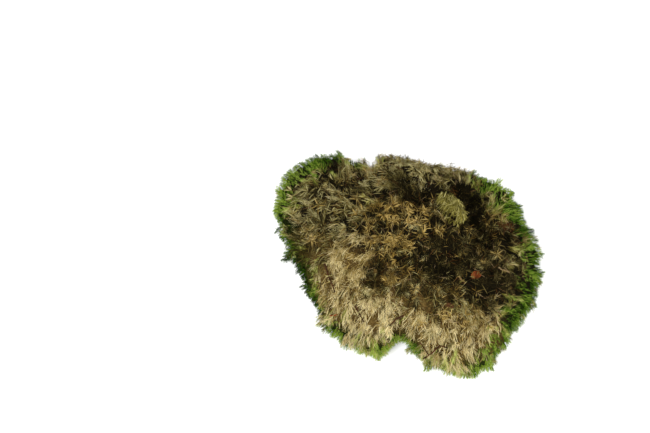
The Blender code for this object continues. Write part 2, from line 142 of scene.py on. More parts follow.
# The underside's form faces up by more than this. Steep places far inside the rim and high are walls of its
# pits
LEAST_UPRIGHT = 0.05
PIT_INWARD = 0.025
PIT_HEIGHT = 0.030

# Small steps between a leaf's corners on its UV map, so that no face has lost its width there
UV_STEP = 0.004
# Leaves lower than the first height are pressed together, and none reaches the surface below
PRESSED_BELOW = 0.002
REST_GAP = 0.0003


def set_mode(mode):
    bpy.ops.object.mode_set(mode=mode)


def make_active(piece):
    bpy.ops.object.select_all(action="DESELECT")
    piece.select_set(True)
    bpy.context.view_layer.objects.active = piece


def apply_modifier(piece, kind, **settings):
    make_active(piece)
    modifier = piece.modifiers.new(kind.lower(), kind)
    for name, value in settings.items():
        setattr(modifier, name, value)
    bpy.ops.object.modifier_apply(modifier=modifier.name)


def corners_of(mesh):
    return np.array([corner.co for corner in mesh.vertices])


def unit(vectors):
    return vectors / np.maximum(np.linalg.norm(vectors, axis=-1, keepdims=True), 1e-12)


SEED_STEP = (7.31, 3.17, 5.53)
NOISE_GAIN = 1.6


def fractal(places, size, seed):
    """Soft noise between about -1 and 1 at each place, with lumps of the given size."""
    offset = Vector([seed * step for step in SEED_STEP])
    return np.array([noise.noise(Vector(place) / size + offset) for place in places]) * NOISE_GAIN


def soft_patches(places, layers):
    """A sum of soft noises: the strength, size of lumps and seed of each."""
    return sum(strength * fractal(places, size, seed) for strength, size, seed in layers)


# Shader building

class Value:
    """A shader socket that takes part in sums."""

    def __init__(self, nodes, socket):
        self.nodes = nodes
        self.socket = socket

    def math(self, operation, other):
        return self.nodes.add("ShaderNodeMath", {"operation": operation}, [self, other])

    def __add__(self, other):
        return self.math("ADD", other)

    __radd__ = __add__

    def __mul__(self, other):
        return self.math("MULTIPLY", other)

    __rmul__ = __mul__

    def __pow__(self, other):
        return self.math("POWER", other)

    def output(self, number):
        """Another output of the same node."""
        return Value(self.nodes, self.socket.node.outputs[number])


class Material:
    """A material's nodes round one Principled shader."""

    def __init__(self, name):
        self.material = bpy.data.materials.new(name)
        self.material.use_nodes = True
        self.tree = self.material.node_tree
        self.shader = self.tree.nodes["Principled BSDF"]

    def add(self, kind, settings=None, sockets=(), output=0):
        node = self.tree.nodes.new(kind)
        for name, value in (settings or {}).items():
            if name == "stops":
                self.set_stops(node.color_ramp, value)
            else:
                setattr(node, name, value)
        pairs = sockets.items() if isinstance(sockets, dict) else enumerate(sockets)
        for name, value in pairs:
            self.fill(node.inputs[name], value)
        return Value(self, node.outputs[output])

    def set_stops(self, ramp, stops):
        while len(ramp.elements) < len(stops):
            ramp.elements.new(0.5)
        for element, (place, colour) in zip(ramp.elements, stops):
            element.position = place
            element.color = (*srgb(colour), 1.0)

    def fill(self, socket, value):
        if isinstance(value, Value):
            self.tree.links.new(value.socket, socket)
        else:
            socket.default_value = value

    def mix(self, factor, first, second):
        settings = {"data_type": "RGBA", "clamp_factor": True}
        return self.add("ShaderNodeMix", settings, {0: factor, 6: first, 7: second}, 2)

    def place(self):
        """The place on the piece, in its object's own coordinates."""
        return self.add("ShaderNodeTexCoord", {}, {}, 3)

    def noise(self, place, scale, detail):
        return self.add("ShaderNodeTexNoise", {}, {"Vector": place, "Scale": scale, "Detail": detail})

    def ramp(self, value, stops):
        return self.add("ShaderNodeValToRGB", {"stops": stops}, [value])

    def fade(self, value, start, end):
        """From 0 at the start to 1 at the end, softly."""
        settings = {"interpolation_type": "SMOOTHSTEP"}
        return self.add("ShaderNodeMapRange", settings, {"Value": value, "From Min": start, "From Max": end})

    def bump(self, height, strength, distance):
        return self.add("ShaderNodeBump", {}, {"Strength": strength, "Distance": distance, "Height": height})

    def set(self, **values):
        for name, value in values.items():
            self.fill(self.shader.inputs[name.replace("_", " ")], value)
        return self.material


def srgb(colour):
    """Linear light of a colour given in 0 to 255 as a screen shows it."""
    shares = [part / 255 for part in colour]
    return [part / 12.92 if part <= 0.04045 else ((part + 0.055) / 1.055) ** 2.4 for part in shares]


# Each kind's leaf colours, dark, middle and pale, near the stem and at the tip, and its roughness. Near the
# stem they are darker, partly their own colour and partly painted shade
LEAF_COLOURS = {
    "straw": ([(48, 36, 12), (132, 108, 54), (192, 172, 112)],
              [(90, 72, 28), (200, 179, 112), (244, 232, 184)], 0.72),
    "golden": ([(22, 16, 4), (80, 60, 20), (138, 111, 49)],
               [(58, 44, 14), (164, 134, 65), (222, 197, 126)], 0.70),
    "olive": ([(16, 13, 4), (66, 58, 25), (122, 111, 62)],
              [(42, 36, 12), (137, 123, 66), (218, 208, 151)], 0.76),
    "dark": ([(4, 3, 1), (20, 17, 6), (61, 52, 24)],
             [(9, 8, 3), (52, 45, 20), (158, 141, 85)], 0.70),
    "khaki": ([(26, 23, 4), (82, 76, 24), (138, 130, 62)],
              [(56, 50, 14), (152, 142, 70), (226, 214, 150)], 0.68),
    "rust": ([(30, 12, 4), (80, 34, 12), (116, 60, 26)],
             [(58, 24, 8), (132, 62, 24), (190, 112, 58)], 0.70),
    "tipped": ([(40, 32, 8), (104, 84, 36), (160, 138, 78)],
               [(62, 82, 16), (146, 172, 64), (212, 228, 130)], 0.68),
    "green": ([(10, 20, 1), (36, 62, 2), (116, 140, 34)],
              [(24, 48, 1), (86, 134, 8), (206, 226, 108)], 0.58),
    "stalk": ([(20, 8, 4), (84, 50, 22), (186, 160, 112)],
              [(30, 12, 6), (120, 80, 36), (226, 208, 168)], 0.60),
}
LEAF_STOPS = (0.0, 0.5, 1.0)
LEAF_SHINE = 0.03
DARKEST_TONE, PALEST_TONE = 0.02, 0.98
# The tip's colour prevails later than halfway along a leaf
TIP_POWER = 1.2

# The humus: three tones of each kind of it, the distances towards the near left between which old stems
# come in, and the heights between which green does
HUMUS_TONES = [(0.30, (7, 6, 3)), (0.52, (16, 13, 6)), (0.72, (35, 28, 13))]
GREEN_HUMUS_TONES = [(0.30, (8, 14, 2)), (0.55, (18, 29, 4)), (0.75, (34, 48, 9))]
OLD_STEM_TONES = [(0.30, (32, 23, 9)), (0.52, (68, 53, 25)), (0.72, (104, 85, 46))]
OLD_STEMS_FROM_TO = (0.014, 0.030)
LIVING_FROM_TO = (0.042, 0.026)
HUMUS_SHINE = 0.02


def leaf_material(kind):
    """Leaf colour by its tone (U) and from its base to its tip (V), both partly carrying painted shade."""
    looks = Material(f"{kind} leaves")
    place = looks.add("ShaderNodeUVMap", {"uv_map": "OFBake"})
    tone = looks.add("ShaderNodeSeparateXYZ", {}, [place])
    near_stem, near_tip, roughness = LEAF_COLOURS[kind]
    base = looks.ramp(tone, list(zip(LEAF_STOPS, near_stem)))
    tip = looks.ramp(tone, list(zip(LEAF_STOPS, near_tip)))
    colour = looks.mix(tone.output(1) ** TIP_POWER, base, tip)
    return looks.set(Base_Color=colour, Roughness=roughness, Specular_IOR_Level=LEAF_SHINE)


def core_material():
    """Damp crumbly humus, with old pale stems on the near left and green where living shoots root."""
    looks = Material("humus")
    place = looks.place()
    coarse, fine = looks.noise(place, 90.0, 5.0), looks.noise(place, 900.0, 3.0)
    crumbs = coarse * 0.6 + fine * 0.4
    humus, greens = looks.ramp(crumbs, HUMUS_TONES), looks.ramp(crumbs, GREEN_HUMUS_TONES)
    old_stems = looks.ramp(coarse * 0.4 + fine * 0.6, OLD_STEM_TONES)
    sideways = looks.add("ShaderNodeSeparateXYZ", {}, [place])
    onward, height = sideways.output(1), sideways.output(2)
    strawy = looks.fade(onward * -0.9 + sideways * -0.45, *OLD_STEMS_FROM_TO)
    living = looks.fade(height, *LIVING_FROM_TO)
    colour = looks.mix(living, looks.mix(strawy, humus, old_stems), greens)
    bump = looks.bump(fine, 0.7, 0.0008)
    return looks.set(Base_Color=colour, Roughness=0.95, Specular_IOR_Level=HUMUS_SHINE, Normal=bump)


# The clump's surface

RIM_STEP = 4


def bearings(places):
    return np.degrees(np.arctan2(places[:, 1], places[:, 0]))


class Skin:
    """The clump's outer surface as arrays, with the form under its locks."""

    def __init__(self, mesh):
        mesh.calc_loop_triangles()
        self.corners = corners_of(mesh)
        self.faces = np.array([face.vertices[:] for face in mesh.loop_triangles])
        self.edges = np.array([edge.vertices[:] for edge in mesh.edges])
        self.tree = BVHTree.FromPolygons([Vector(corner) for corner in self.corners], self.faces.tolist())
        soft = self.smoothed(self.corners, 5)
        form = self.smoothed(self.corners, 45)
        self.soft_normals = self.corner_normals(soft)
        self.form_normals = self.corner_normals(form)
        self.hollow = np.einsum("ij,ij->i", self.smoothed(self.corners, 14) - self.corners, self.form_normals)
        self.reach = self.farthest_by_bearing()

    def farthest_by_bearing(self):
        """How far the rim lies from the middle, at each step of bearing from -180 degrees."""
        steps = int(360 / RIM_STEP)
        step = ((bearings(self.corners) + 180) // RIM_STEP).astype(int) % steps
        reach = np.zeros(steps)
        np.maximum.at(reach, step, np.hypot(self.corners[:, 0], self.corners[:, 1]))
        return reach

    def inside_rim(self, places):
        """Level distance from each place out to the rim."""
        middles = -180 + RIM_STEP * (np.arange(len(self.reach)) + 0.5)
        reach = np.interp(bearings(places), middles, self.reach, period=360)
        return reach - np.hypot(places[:, 0], places[:, 1])

    def smoothed(self, places, rounds):
        degree = np.bincount(self.edges.ravel(), minlength=len(places))[:, None]
        for _ in range(rounds):
            total = np.zeros_like(places)
            np.add.at(total, self.edges[:, 0], places[self.edges[:, 1]])
            np.add.at(total, self.edges[:, 1], places[self.edges[:, 0]])
            places = 0.5 * places + 0.5 * total / degree
        return places

    def corner_normals(self, places):
        a, b, c = (places[self.faces[:, k]] for k in range(3))
        across = np.cross(b - a, c - a)
        total = np.zeros_like(places)
        for k in range(3):
            np.add.at(total, self.faces[:, k], across)
        return unit(total)

    def top_at(self, x, y):
        """The surface's highest place over a level place."""
        place, _, _, _ = self.tree.ray_cast(Vector((x, y, 1.0)), Vector((0, 0, -1)))
        return np.array(place)

    def depth_of(self, place):
        """How far a place lies under the surface."""
        near, normal, _, _ = self.tree.find_nearest(Vector(place))
        return (near - Vector(place)).dot(normal)

    def scatter(self, chance, count):
        """Random places spread evenly over the surface, with what the surface is like there."""
        a, b, c = (self.corners[self.faces[:, k]] for k in range(3))
        area = 0.5 * np.linalg.norm(np.cross(b - a, c - a), axis=1)
        face = chance.choice(len(area), size=count, p=area / area.sum())
        r, s = chance.random(count), chance.random(count)
        flip = r + s > 1
        r[flip], s[flip] = 1 - r[flip], 1 - s[flip]
        weights = np.stack([1 - r - s, r, s], axis=1)
        corners = self.faces[face]

        def blend(values):
            return np.einsum("nk,nk...->n...", weights, values[corners])

        return {
            "place": blend(self.corners),
            "normal": unit(blend(self.soft_normals)),
            "form": unit(blend(self.form_normals)),
            "hollow": blend(self.hollow),
            "inward": self.inside_rim(blend(self.corners)),
        }


def chosen(spots, mask):
    return {name: values[mask] for name, values in spots.items()}


def one_per_cell(spots, cell, chance, limit=None):
    """Thins the spots to one in each cell of a cubic grid, then to the limit."""
    order = chance.permutation(len(spots["place"]))
    keys = np.floor(spots["place"][order] / cell).astype(np.int64)
    keys = keys[:, 0] * 4_000_000 + keys[:, 1] * 2_000 + keys[:, 2]
    first = np.unique(keys, return_index=True)[1]
    kept = order[first]
    if limit and len(kept) > limit:
        kept = chance.choice(kept, size=limit, replace=False)
    return chosen(spots, np.sort(kept))


# Tones of the underside: middle, half length and width in millimetres, turn in degrees, kind, tone, weight
REGIONS = {
    "straw patch": (-47, -9, 17, 20, 0, "straw", 0.67, 2.0),
    "straw patch foot": (-51, -38, 18, 14, 0, "straw", 0.54, 1.4),
    "left apron": (-27, -60, 38, 13, -6, "straw", 0.96, 2.0),
    "apron": (42, -82, 38, 19, 0, "straw", 0.96, 1.8),
    "apron palest": (38, -84, 24, 14, 0, "straw", 1.00, 2.2),
    "apron right": (66, -66, 14, 16, -30, "straw", 0.50, 1.3),
    "apron seam": (20, -47, 38, 9, -8, "olive", 0.34, 1.2),
    "apron warm": (38, -63, 30, 7, 0, "golden", 0.76, 0.9),
    "band low": (20, -42, 34, 9, -4, "dark", 0.40, 1.5),
    # Painted shade, in part: the furrows' dark tones stand for shade in them as well as darker shoots
    "apron furrow": (50, -70, 12, 4, -62, "olive", 0.16, 2.2),
    "apron right furrow": (62, -58, 13, 5, -40, "dark", 0.35, 1.8),
    "patch furrow": (-28, -44, 16, 4, 20, "olive", 0.24, 1.6),
    "golden patch": (6, 22, 25, 16, 0, "golden", 0.80, 2.3),
    "golden streaks": (-26, 28, 14, 20, 0, "golden", 0.55, 1.3),
    "golden foot": (-20, -3, 16, 9, 0, "golden", 0.68, 1.3),
    "golden tuft": (-9, -30, 9, 7, 30, "golden", 0.62, 2.0),
    "dark band": (22, -10, 28, 12, 0, "dark", 0.34, 1.9),
    "band left": (-12, -20, 8, 7, 0, "golden", 0.62, 1.7),
    "dark band right": (66, -18, 26, 30, 0, "dark", 0.36, 1.9),
    "dark band foot": (45, -35, 20, 12, 0, "dark", 0.30, 1.4),
    # Painted shade, in part: the hollow's dark tone stands for shade in it as well as darker shoots
    "green-black hollow": (-25, -22, 10, 13, 0, "dark", 0.16, 2.4),
    "far ridge": (20, 72, 52, 13, -4, "olive", 0.74, 1.4),
    "ridge tips": (25, 80, 14, 6, 0, "olive", 1.00, 1.4),
    "ridge gold": (12, 76, 8, 6, 0, "golden", 0.80, 1.6),
    # Painted shade, in part: dark tones in the hollows, under the pale tuft and in the trench beside it
    "dark hollow": (10, 47, 20, 7, -10, "dark", 0.12, 2.1),
    "hollow foot": (28, 33, 8, 15, 10, "dark", 0.12, 2.0),
    "pale tuft": (40, 20, 15, 8, -40, "dark", 0.12, 2.4),
    "trench": (53, 38, 25, 7, -66, "dark", 0.05, 3.4),
    "trench foot": (60, 10, 16, 8, -30, "dark", 0.34, 2.0),
    "olive-tan tuft": (66, 31, 11, 13, 0, "khaki", 0.54, 2.6),
    "right shoulder": (64, 54, 14, 12, 0, "khaki", 0.36, 1.1),
    "reddish bits": (75, 18, 9, 4, -20, "rust", 0.42, 1.5),
    "yellow-green blob": (82, -6, 6, 6, 0, "khaki", 0.64, 2.4),
    "yellow-green speck": (-31, 43, 5, 4, 0, "khaki", 0.62, 2.2),
    "lobe brown": (-50, 50, 30, 22, 10, "olive", 0.53, 1.1),
    "brush": (-27, 62, 13, 7, 10, "olive", 0.74, 1.7),
    "lobe dark": (-41, 57, 8, 7, 0, "dark", 0.16, 2.2),
    "lobe top dark": (-66, 73, 10, 7, 0, "dark", 0.20, 2.0),
    "tan streaks": (-80, 42, 20, 13, 15, "olive", 0.82, 1.6),
    "middle left": (-55, 22, 20, 16, 0, "olive", 0.57, 1.2),
    # Painted shade: the left flank is darker for the shade of a neighbouring clump that is not built
    "left shade": (-80, 5, 14, 24, 10, "olive", 0.37, 1.5),
}
# Elsewhere: kind, tone and weight
PLAIN_KIND = ("olive", 0.42, 0.25)
# How ragged the regions' borders are in millimetres and how large their lumps in metres, how suddenly a
# region ends, and how much chance decides
RAGGED_BORDERS = (5, 0.014)
REGION_FALL = 1.5
KIND_PLAY = 0.35

# What is mixed in each kind's places: kind, other kind, its lowest and highest rank in a patchy field, its
# tone
MIXED_IN = [
    ("straw", "olive", 0.00, 0.12, 0.50), ("straw", "dark", 0.12, 0.13, 0.30),
    ("straw", "golden", 0.90, 0.97, 0.70), ("golden", "dark", 0.00, 0.34, 0.10),
    ("golden", "olive", 0.84, 1.00, 0.50), ("olive", "dark", 0.00, 0.18, 0.22),
    ("olive", "straw", 0.84, 0.90, 0.45), ("olive", "golden", 0.90, 1.00, 0.50),
    ("dark", "straw", 0.82, 0.84, 0.50), ("dark", "golden", 0.84, 0.89, 0.56),
    ("dark", "olive", 0.89, 1.00, 0.55), ("khaki", "olive", 0.90, 1.00, 0.60),
    ("rust", "dark", 0.00, 0.35, 0.20), ("rust", "olive", 0.80, 1.00, 0.50),
]
CLUSTER_SIZE, CLUSTER_SEED, CLUSTER_PLAY = 0.006, 12, 0.45
OTHER_TONE_SHARE = 0.7

# Bearing round the clump in degrees: width of the living rim on the underside in millimetres, and how upright
# the form is where the green begins below it
LIVING_RIM = {
    -180: (9, 0.15), -165: (8, 0.10), -150: (2, 0.00), -141: (2, 0.00), -134: (6, 0.15), -127: (0, 0.00),
    -121: (2, 0.00), -112: (5, 0.10), -105: (6, 0.10), -98: (4, 0.05), -90: (3, 0.10), -85: (1, 0.00),
    -78: (0, -0.30), -70: (1, -0.20), -62: (4, 0.05), -55: (9, 0.20), -46: (12, 0.25), -36: (9, 0.30),
    -26: (9, 0.40), -16: (15, 0.50), -5: (17, 0.55), 8: (16, 0.55), 20: (20, 0.55), 30: (29, 0.65),
    40: (25, 0.65), 49: (16, 0.50), 56: (0, 0.05), 62: (-2, 0.00), 108: (-2, 0.00), 112: (1, 0.10),
    118: (12, 0.50), 127: (22, 0.70), 138: (26, 0.70), 149: (17, 0.60), 160: (11, 0.50), 170: (9, 0.30),
    180: (9, 0.15),
}
# Bearing round the clump in degrees: tone of the living shoots. The dark tones on the left flank, near 180
# degrees, are painted shade of a neighbouring clump that is not built
GREEN_TONE = {
    -180: 0.12, -160: 0.14, -145: 0.40, -132: 0.70, -122: 0.94, -100: 0.92, -86: 0.60, -70: 0.90, -55: 0.66,
    -40: 0.52, -20: 0.42, -5: 0.50, 4: 0.54, 12: 0.38, 26: 0.60, 34: 0.62, 50: 0.50, 118: 0.38, 130: 0.47,
    143: 0.82, 155: 0.80, 166: 0.34, 180: 0.12,
}
# How ragged the border between the living and the dead shoots is, how much more greenness a form gives that
# faces down, and how much less and how many centimetres farther in a steep flank is green
RAGGED_LIFE = ((0.16, 0.012, 3), (0.12, 0.004, 4))
DOWNWARD_LIFE = 1.6
STEEP_LESS, STEEP_FARTHER = 0.4, 0.5
MM_IN_CM = 10


def by_bearing(place, table, part=None):
    values = list(table.values()) if part is None else [row[part] for row in table.values()]
    return np.interp(bearings(place), list(table), values)


def region_weights(spots):
    """Each region's pull at each spot, with ragged borders."""
    place = spots["place"]
    x, y = (place[:, k] / MM + soft_patches(place, [(*RAGGED_BORDERS, k + 1)]) for k in (0, 1))
    pulls = []
    for middle_x, middle_y, half_length, half_width, turn, _, _, weight in REGIONS.values():
        angle = math.radians(turn)
        u = ((x - middle_x) * math.cos(angle) + (y - middle_y) * math.sin(angle)) / half_length
        v = ((y - middle_y) * math.cos(angle) - (x - middle_x) * math.sin(angle)) / half_width
        pulls.append(weight * np.exp(-((u * u + v * v) ** REGION_FALL)))
    return np.array(pulls)


def on_underside(spots):
    pits = (spots["inward"] > PIT_INWARD) & (spots["place"][:, 2] > PIT_HEIGHT)
    return (spots["form"][:, 2] > LEAST_UPRIGHT) | pits


def greenness(spots):
    """Positive where the shoots are living, by about 1 a centimetre inside the living rim."""
    place = spots["place"]
    across = (by_bearing(place, LIVING_RIM, 0) - spots["inward"] / MM) / MM_IN_CM
    down = (by_bearing(place, LIVING_RIM, 1) - spots["form"][:, 2]) * DOWNWARD_LIFE
    steep = np.minimum(down - STEEP_LESS, across + STEEP_FARTHER)
    above = np.where(on_underside(spots), np.maximum(across, steep), down)
    return above + soft_patches(place, RAGGED_LIFE)


def kinds_and_tones(spots, chance):
    """Each spot's kind of dead shoot, by its regions and by chance, and its tone."""
    pulls = region_weights(spots)
    plain, plain_tone, plain_weight = PLAIN_KIND
    names = [kind for kind in SHOOT_KINDS if kind != "green"]
    votes = np.zeros((len(names), pulls.shape[1]))
    votes[names.index(plain)] += plain_weight
    tone = np.full(pulls.shape[1], plain_tone * plain_weight)
    for pull, (*_, kind, kind_tone, _) in zip(pulls, REGIONS.values()):
        votes[names.index(kind)] += pull
        tone += pull * kind_tone
    tone /= pulls.sum(axis=0) + plain_weight
    votes *= np.exp(KIND_PLAY * chance.gumbel(size=votes.shape))
    return np.array(names)[votes.argmax(axis=0)], tone


def mix_in_others(kinds, tone, places, chance):
    """Puts shoots of other kinds among each kind, in clusters of a few."""
    patch = fractal(places, CLUSTER_SIZE, CLUSTER_SEED) + chance.normal(0, CLUSTER_PLAY, len(places))
    rank = patch.argsort().argsort() / len(patch)
    mixed, toned = kinds.copy(), tone.copy()
    for kind, other, low, high, other_tone in MIXED_IN:
        some = (kinds == kind) & (rank >= low) & (rank < high) & (tone > SUNK_TONE)
        mixed[some] = other
        toned[some] = OTHER_TONE_SHARE * other_tone + (1 - OTHER_TONE_SHARE) * tone[some]
    return mixed, toned


# Leaves and shoots. A leaf is one metre long before it is scaled, and a spindle is widest at a share of its
# length

SPINDLE_WIDEST = 0.36
LEAF_FLATNESS = 0.5
BLADE_STEPS = np.linspace(0, 1, 5)


def pull_out(leaf, way, steps):
    """Extrudes the end that faces up or down: a length and a narrowing each step, to a point at 0."""
    set_mode("EDIT")
    bpy.ops.mesh.select_mode(type="FACE")
    bpy.ops.mesh.select_all(action="DESELECT")
    set_mode("OBJECT")
    for face in leaf.data.polygons:
        face.select = face.normal.z * way > 0.9
    set_mode("EDIT")
    for onward, narrowing in steps:
        bpy.ops.mesh.extrude_region_move(TRANSFORM_OT_translate={"value": (0, 0, way * onward)})
        if narrowing:
            bpy.ops.transform.resize(value=(narrowing, narrowing, 1))
        else:
            bpy.ops.mesh.merge(type="CENTER")
    set_mode("OBJECT")


def model_leaf(low, high, top, up=(), down=()):
    """A flattened three-sided leaf: a cone or prism between two heights, its ends pulled out in steps."""
    bpy.ops.mesh.primitive_cone_add(
        vertices=3, radius1=0.5, radius2=top, depth=high - low, end_fill_type="NGON",
        location=(0, 0, (low + high) / 2),
    )
    leaf = bpy.context.object
    bpy.ops.object.transform_apply(location=True, rotation=True, scale=True)
    for way, steps in ((1, up), (-1, down)):
        if steps:
            pull_out(leaf, way, steps)
    set_mode("EDIT")
    bpy.ops.mesh.select_all(action="SELECT")
    bpy.ops.transform.resize(value=(1, LEAF_FLATNESS, 1))
    bpy.ops.mesh.quads_convert_to_tris()
    bpy.ops.mesh.normals_make_consistent(inside=False)
    set_mode("OBJECT")
    corners = corners_of(leaf.data)
    faces = np.array([face.vertices[:] for face in leaf.data.polygons])
    bpy.data.objects.remove(leaf, do_unlink=True)
    return corners, faces


SPINDLE = model_leaf(SPINDLE_WIDEST, 1, 0, down=[(SPINDLE_WIDEST, 0)])
AWL = model_leaf(0, 1, 0)
# A long leaf in four steps, which can be bent
BLADE = model_leaf(0.25, 0.5, 0.5, up=[(0.25, 0.75), (0.25, 0)], down=[(0.25, 0)])
# The living shoots bear awls, which are short and straight, and all others spindles, which can curl
LEAVES = {"green": AWL}


def turn_x(angle):
    cos, sin = math.cos(angle), math.sin(angle)
    return np.array([[1, 0, 0], [0, cos, -sin], [0, sin, cos]])


def turn_z(angle):
    cos, sin = math.cos(angle), math.sin(angle)
    return np.array([[cos, -sin, 0], [sin, cos, 0], [0, 0, 1]])


def model_shoot(kind, chance):
    """One shoot along +Z, its leaves in a spiral. Returns corners, faces, leaf tone shifts, tip shares."""
    made = SHOOT_KINDS[kind]
    wide, narrow = made.spread
    blade, blade_faces = LEAVES.get(kind, SPINDLE)
    thickness, brightness, shift = LEAFY_STEM if made.leaves else BARE_STALK
    corners = [blade * (*thickness, STEM_LENGTH * made.length)]
    shares = [brightness * blade[:, 2]]
    shifts = [np.full(len(blade), shift)]
    for index in range(made.leaves):
        share = index / (made.leaves - 1)
        foot = made.first_leaf + (LAST_LEAF - made.first_leaf) * share
        foot += chance.uniform(-LEAF_FOOT_PLAY, LEAF_FOOT_PLAY)
        degrees = wide + (narrow - wide) * share ** SPREAD_POWER + chance.normal(0, LEAF_SPREAD_PLAY)
        spread = math.radians(degrees)
        size = made.leaf * chance.uniform(*LEAF_SIZES)
        width = made.width * chance.uniform(*LEAF_WIDTHS)
        leaf = blade * (width, width * LEAF_THICKNESS, size)
        curl = made.curl * chance.uniform(*LEAF_CURLS) * size
        leaf[:, 1] -= curl * blade[:, 2] ** 2
        leaf[:, 0] += chance.normal(0, 0.10 + made.curl * 0.5) * size * blade[:, 2] ** 2
        spun = turn_z(index * GOLDEN_ANGLE + chance.normal(0, LEAF_TURN_PLAY)) @ turn_x(spread)
        corners.append(leaf @ spun.T + (0, 0, foot * made.length))
        shares.append(made.by_place * foot + (PALEST_TONE - made.by_place) * blade[:, 2])
        shifts.append(np.full(len(blade), chance.normal(0, LEAF_TONE_PLAY)))
    faces = np.concatenate([blade_faces + number * len(blade) for number in range(len(corners))])
    corners = np.concatenate(corners)
    corners[:, 0] += made.bend * corners[:, 2] ** 2 / made.length
    corners *= made.length / corners[:, 2].max()
    return corners, faces, np.concatenate(shifts), np.concatenate(shares)


def shoot_frames(axes, down, roll):
    """A turning matrix for each shoot: Z along its axis, X towards the way that it bends."""
    across = unit(down - axes * np.einsum("ij,ij->i", down, axes)[:, None])
    side = np.cross(axes, across)
    bend = across * np.cos(roll)[:, None] + side * np.sin(roll)[:, None]
    return np.stack([bend, np.cross(axes, bend), axes], axis=2)


def grow(kind, shoots, chance):
    """Joins all shoots of a kind in pieces of limited size."""
    variants = [model_shoot(kind, chance) for _ in range(SHOOT_VARIANTS)]
    looks = leaf_material(kind)
    each = len(LEAVES.get(kind, SPINDLE)[0])
    pieces = max(1, math.ceil(len(shoots["root"]) / SHOOTS_IN_PIECE))
    sector = np.argsort(np.arctan2(shoots["root"][:, 1], shoots["root"][:, 0]))
    for number, members in enumerate(np.array_split(sector, pieces), start=1):
        pick = chance.integers(0, SHOOT_VARIANTS, len(members))
        parts, start = [], 0
        for choice, (corners, faces, shifts, shares) in enumerate(variants):
            some = members[pick == choice]
            placed = np.einsum("nij,vj->nvi", shoots["turn"][some], corners)
            placed = placed * shoots["size"][some][:, None, None] + shoots["root"][some][:, None, :]
            steps = start + np.arange(len(some)) * len(corners)
            joined = (faces[None] + steps[:, None, None]).reshape(-1, 3)
            tones = (shoots["tone"][some][:, None] + shifts[None]).ravel()
            parts.append((placed.reshape(-1, 3), joined, tones, np.tile(shares, len(some))))
            start += len(some) * len(corners)
        title = f"{kind}_shoots_{number}" if pieces > 1 else f"{kind}_shoots"
        piece = join_piece(title, *(np.concatenate(part) for part in zip(*parts)), each)
        finish_piece(piece, looks)


def join_piece(name, corners, faces, tones, shares, each):
    """One mesh of many leaves with this many corners each, and their tones and tip shares as its UV map."""
    low = corners[:, 2] < PRESSED_BELOW
    room = PRESSED_BELOW - REST_GAP
    corners[low, 2] = REST_GAP + room * np.exp((corners[low, 2] - PRESSED_BELOW) / room)
    mesh = bpy.data.meshes.new(name)
    mesh.from_pydata(corners, [], faces)
    number = np.arange(len(corners)) % each
    tones = np.clip(tones, DARKEST_TONE, PALEST_TONE) + UV_STEP * np.sin(2.4 * number)
    places = np.stack([tones, shares + UV_STEP * np.cos(1.7 * number)], axis=1)
    mesh.uv_layers.new(name="OFBake").data.foreach_set("uv", places[faces.ravel()].ravel())
    mesh.polygons.foreach_set("use_smooth", np.ones(len(mesh.polygons), dtype=bool))
    piece = bpy.data.objects.new(name, mesh)
    bpy.context.scene.collection.objects.link(piece)
    return piece


def finish_piece(piece, looks):
    piece.data.materials.append(looks)
    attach(piece, "root")
    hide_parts(CLUMP)


# Laying the shoots: out from the heart, or another way: middle and reach in millimetres, bearing in
# degrees, strength
FLOW_HEART = np.array([0.026, 0.008])
SWIRLS = [(0.5, 0.026, 5)]
FLOWS = {
    "straw patch": (-47, -12, 24, -106, 2.0),
    "straw patch foot": (-52, -42, 20, -102, 1.6),
    "left apron": (-18, -64, 26, -92, 2.8),
    "apron": (34, -76, 24, -90, 3.2),
    "apron right": (64, -66, 20, -50, 3.4),
    "tan streaks": (-80, 40, 22, -166, 1.8),
    "ridge fan": (-18, 62, 15, 178, 2.2),
    "ridge brush": (-8, 80, 12, 140, 1.6),
    "lobe fan": (-52, 66, 14, 60, 1.6),
    "lobe foot": (-42, 44, 14, 200, 1.4),
    "golden left": (-30, 20, 12, 130, 1.4),
    "right shoulder": (70, 48, 14, 70, 1.4),
}


def turned(flow, normals, angle):
    """The flow turned by an angle within the surface."""
    return unit(flow * np.cos(angle)[:, None] + np.cross(normals, flow) * np.sin(angle)[:, None])


def lifted(flow, normals, angle):
    """The flow raised by an angle from the surface."""
    return unit(flow * np.cos(angle)[:, None] + normals * np.sin(angle)[:, None])


def flow_along(spots, chance):
    """How shoots lie along the surface: out from the heart, or as the flows say, with soft swirls."""
    level = spots["place"][:, :2]
    out = np.zeros_like(spots["place"])
    out[:, :2] = unit(level - FLOW_HEART)
    upward = spots["form"][:, 2] > 0
    for x, y, reach, bearing, strength in FLOWS.values():
        pull = strength * np.exp(-np.sum((level / MM - (x, y)) ** 2, axis=1) / reach ** 2) * upward
        angle = math.radians(bearing)
        out[:, :2] += pull[:, None] * (math.cos(angle), math.sin(angle))
    side = unit(np.cross((0.0, 0.0, 1.0), unit(out)))
    flow = unit(np.cross(side, spots["normal"]))
    angle = soft_patches(spots["place"], SWIRLS) + chance.normal(0, 0.10, len(out))
    return turned(flow, spots["normal"], angle)


def place_locks(spots, chance):
    """Middles of the locks, with the turn of each away from the flow and the way that it lies."""
    locks = one_per_cell(spots, LOCK_CELL, chance)
    kinds, _ = kinds_and_tones(locks, chance)
    locks["turn"] = by_kind(kinds, 0) * chance.normal(0, 1, len(kinds))
    locks["way"] = turned(flow_along(locks, chance), locks["normal"], locks["turn"])
    return locks


AT_ONCE = 500


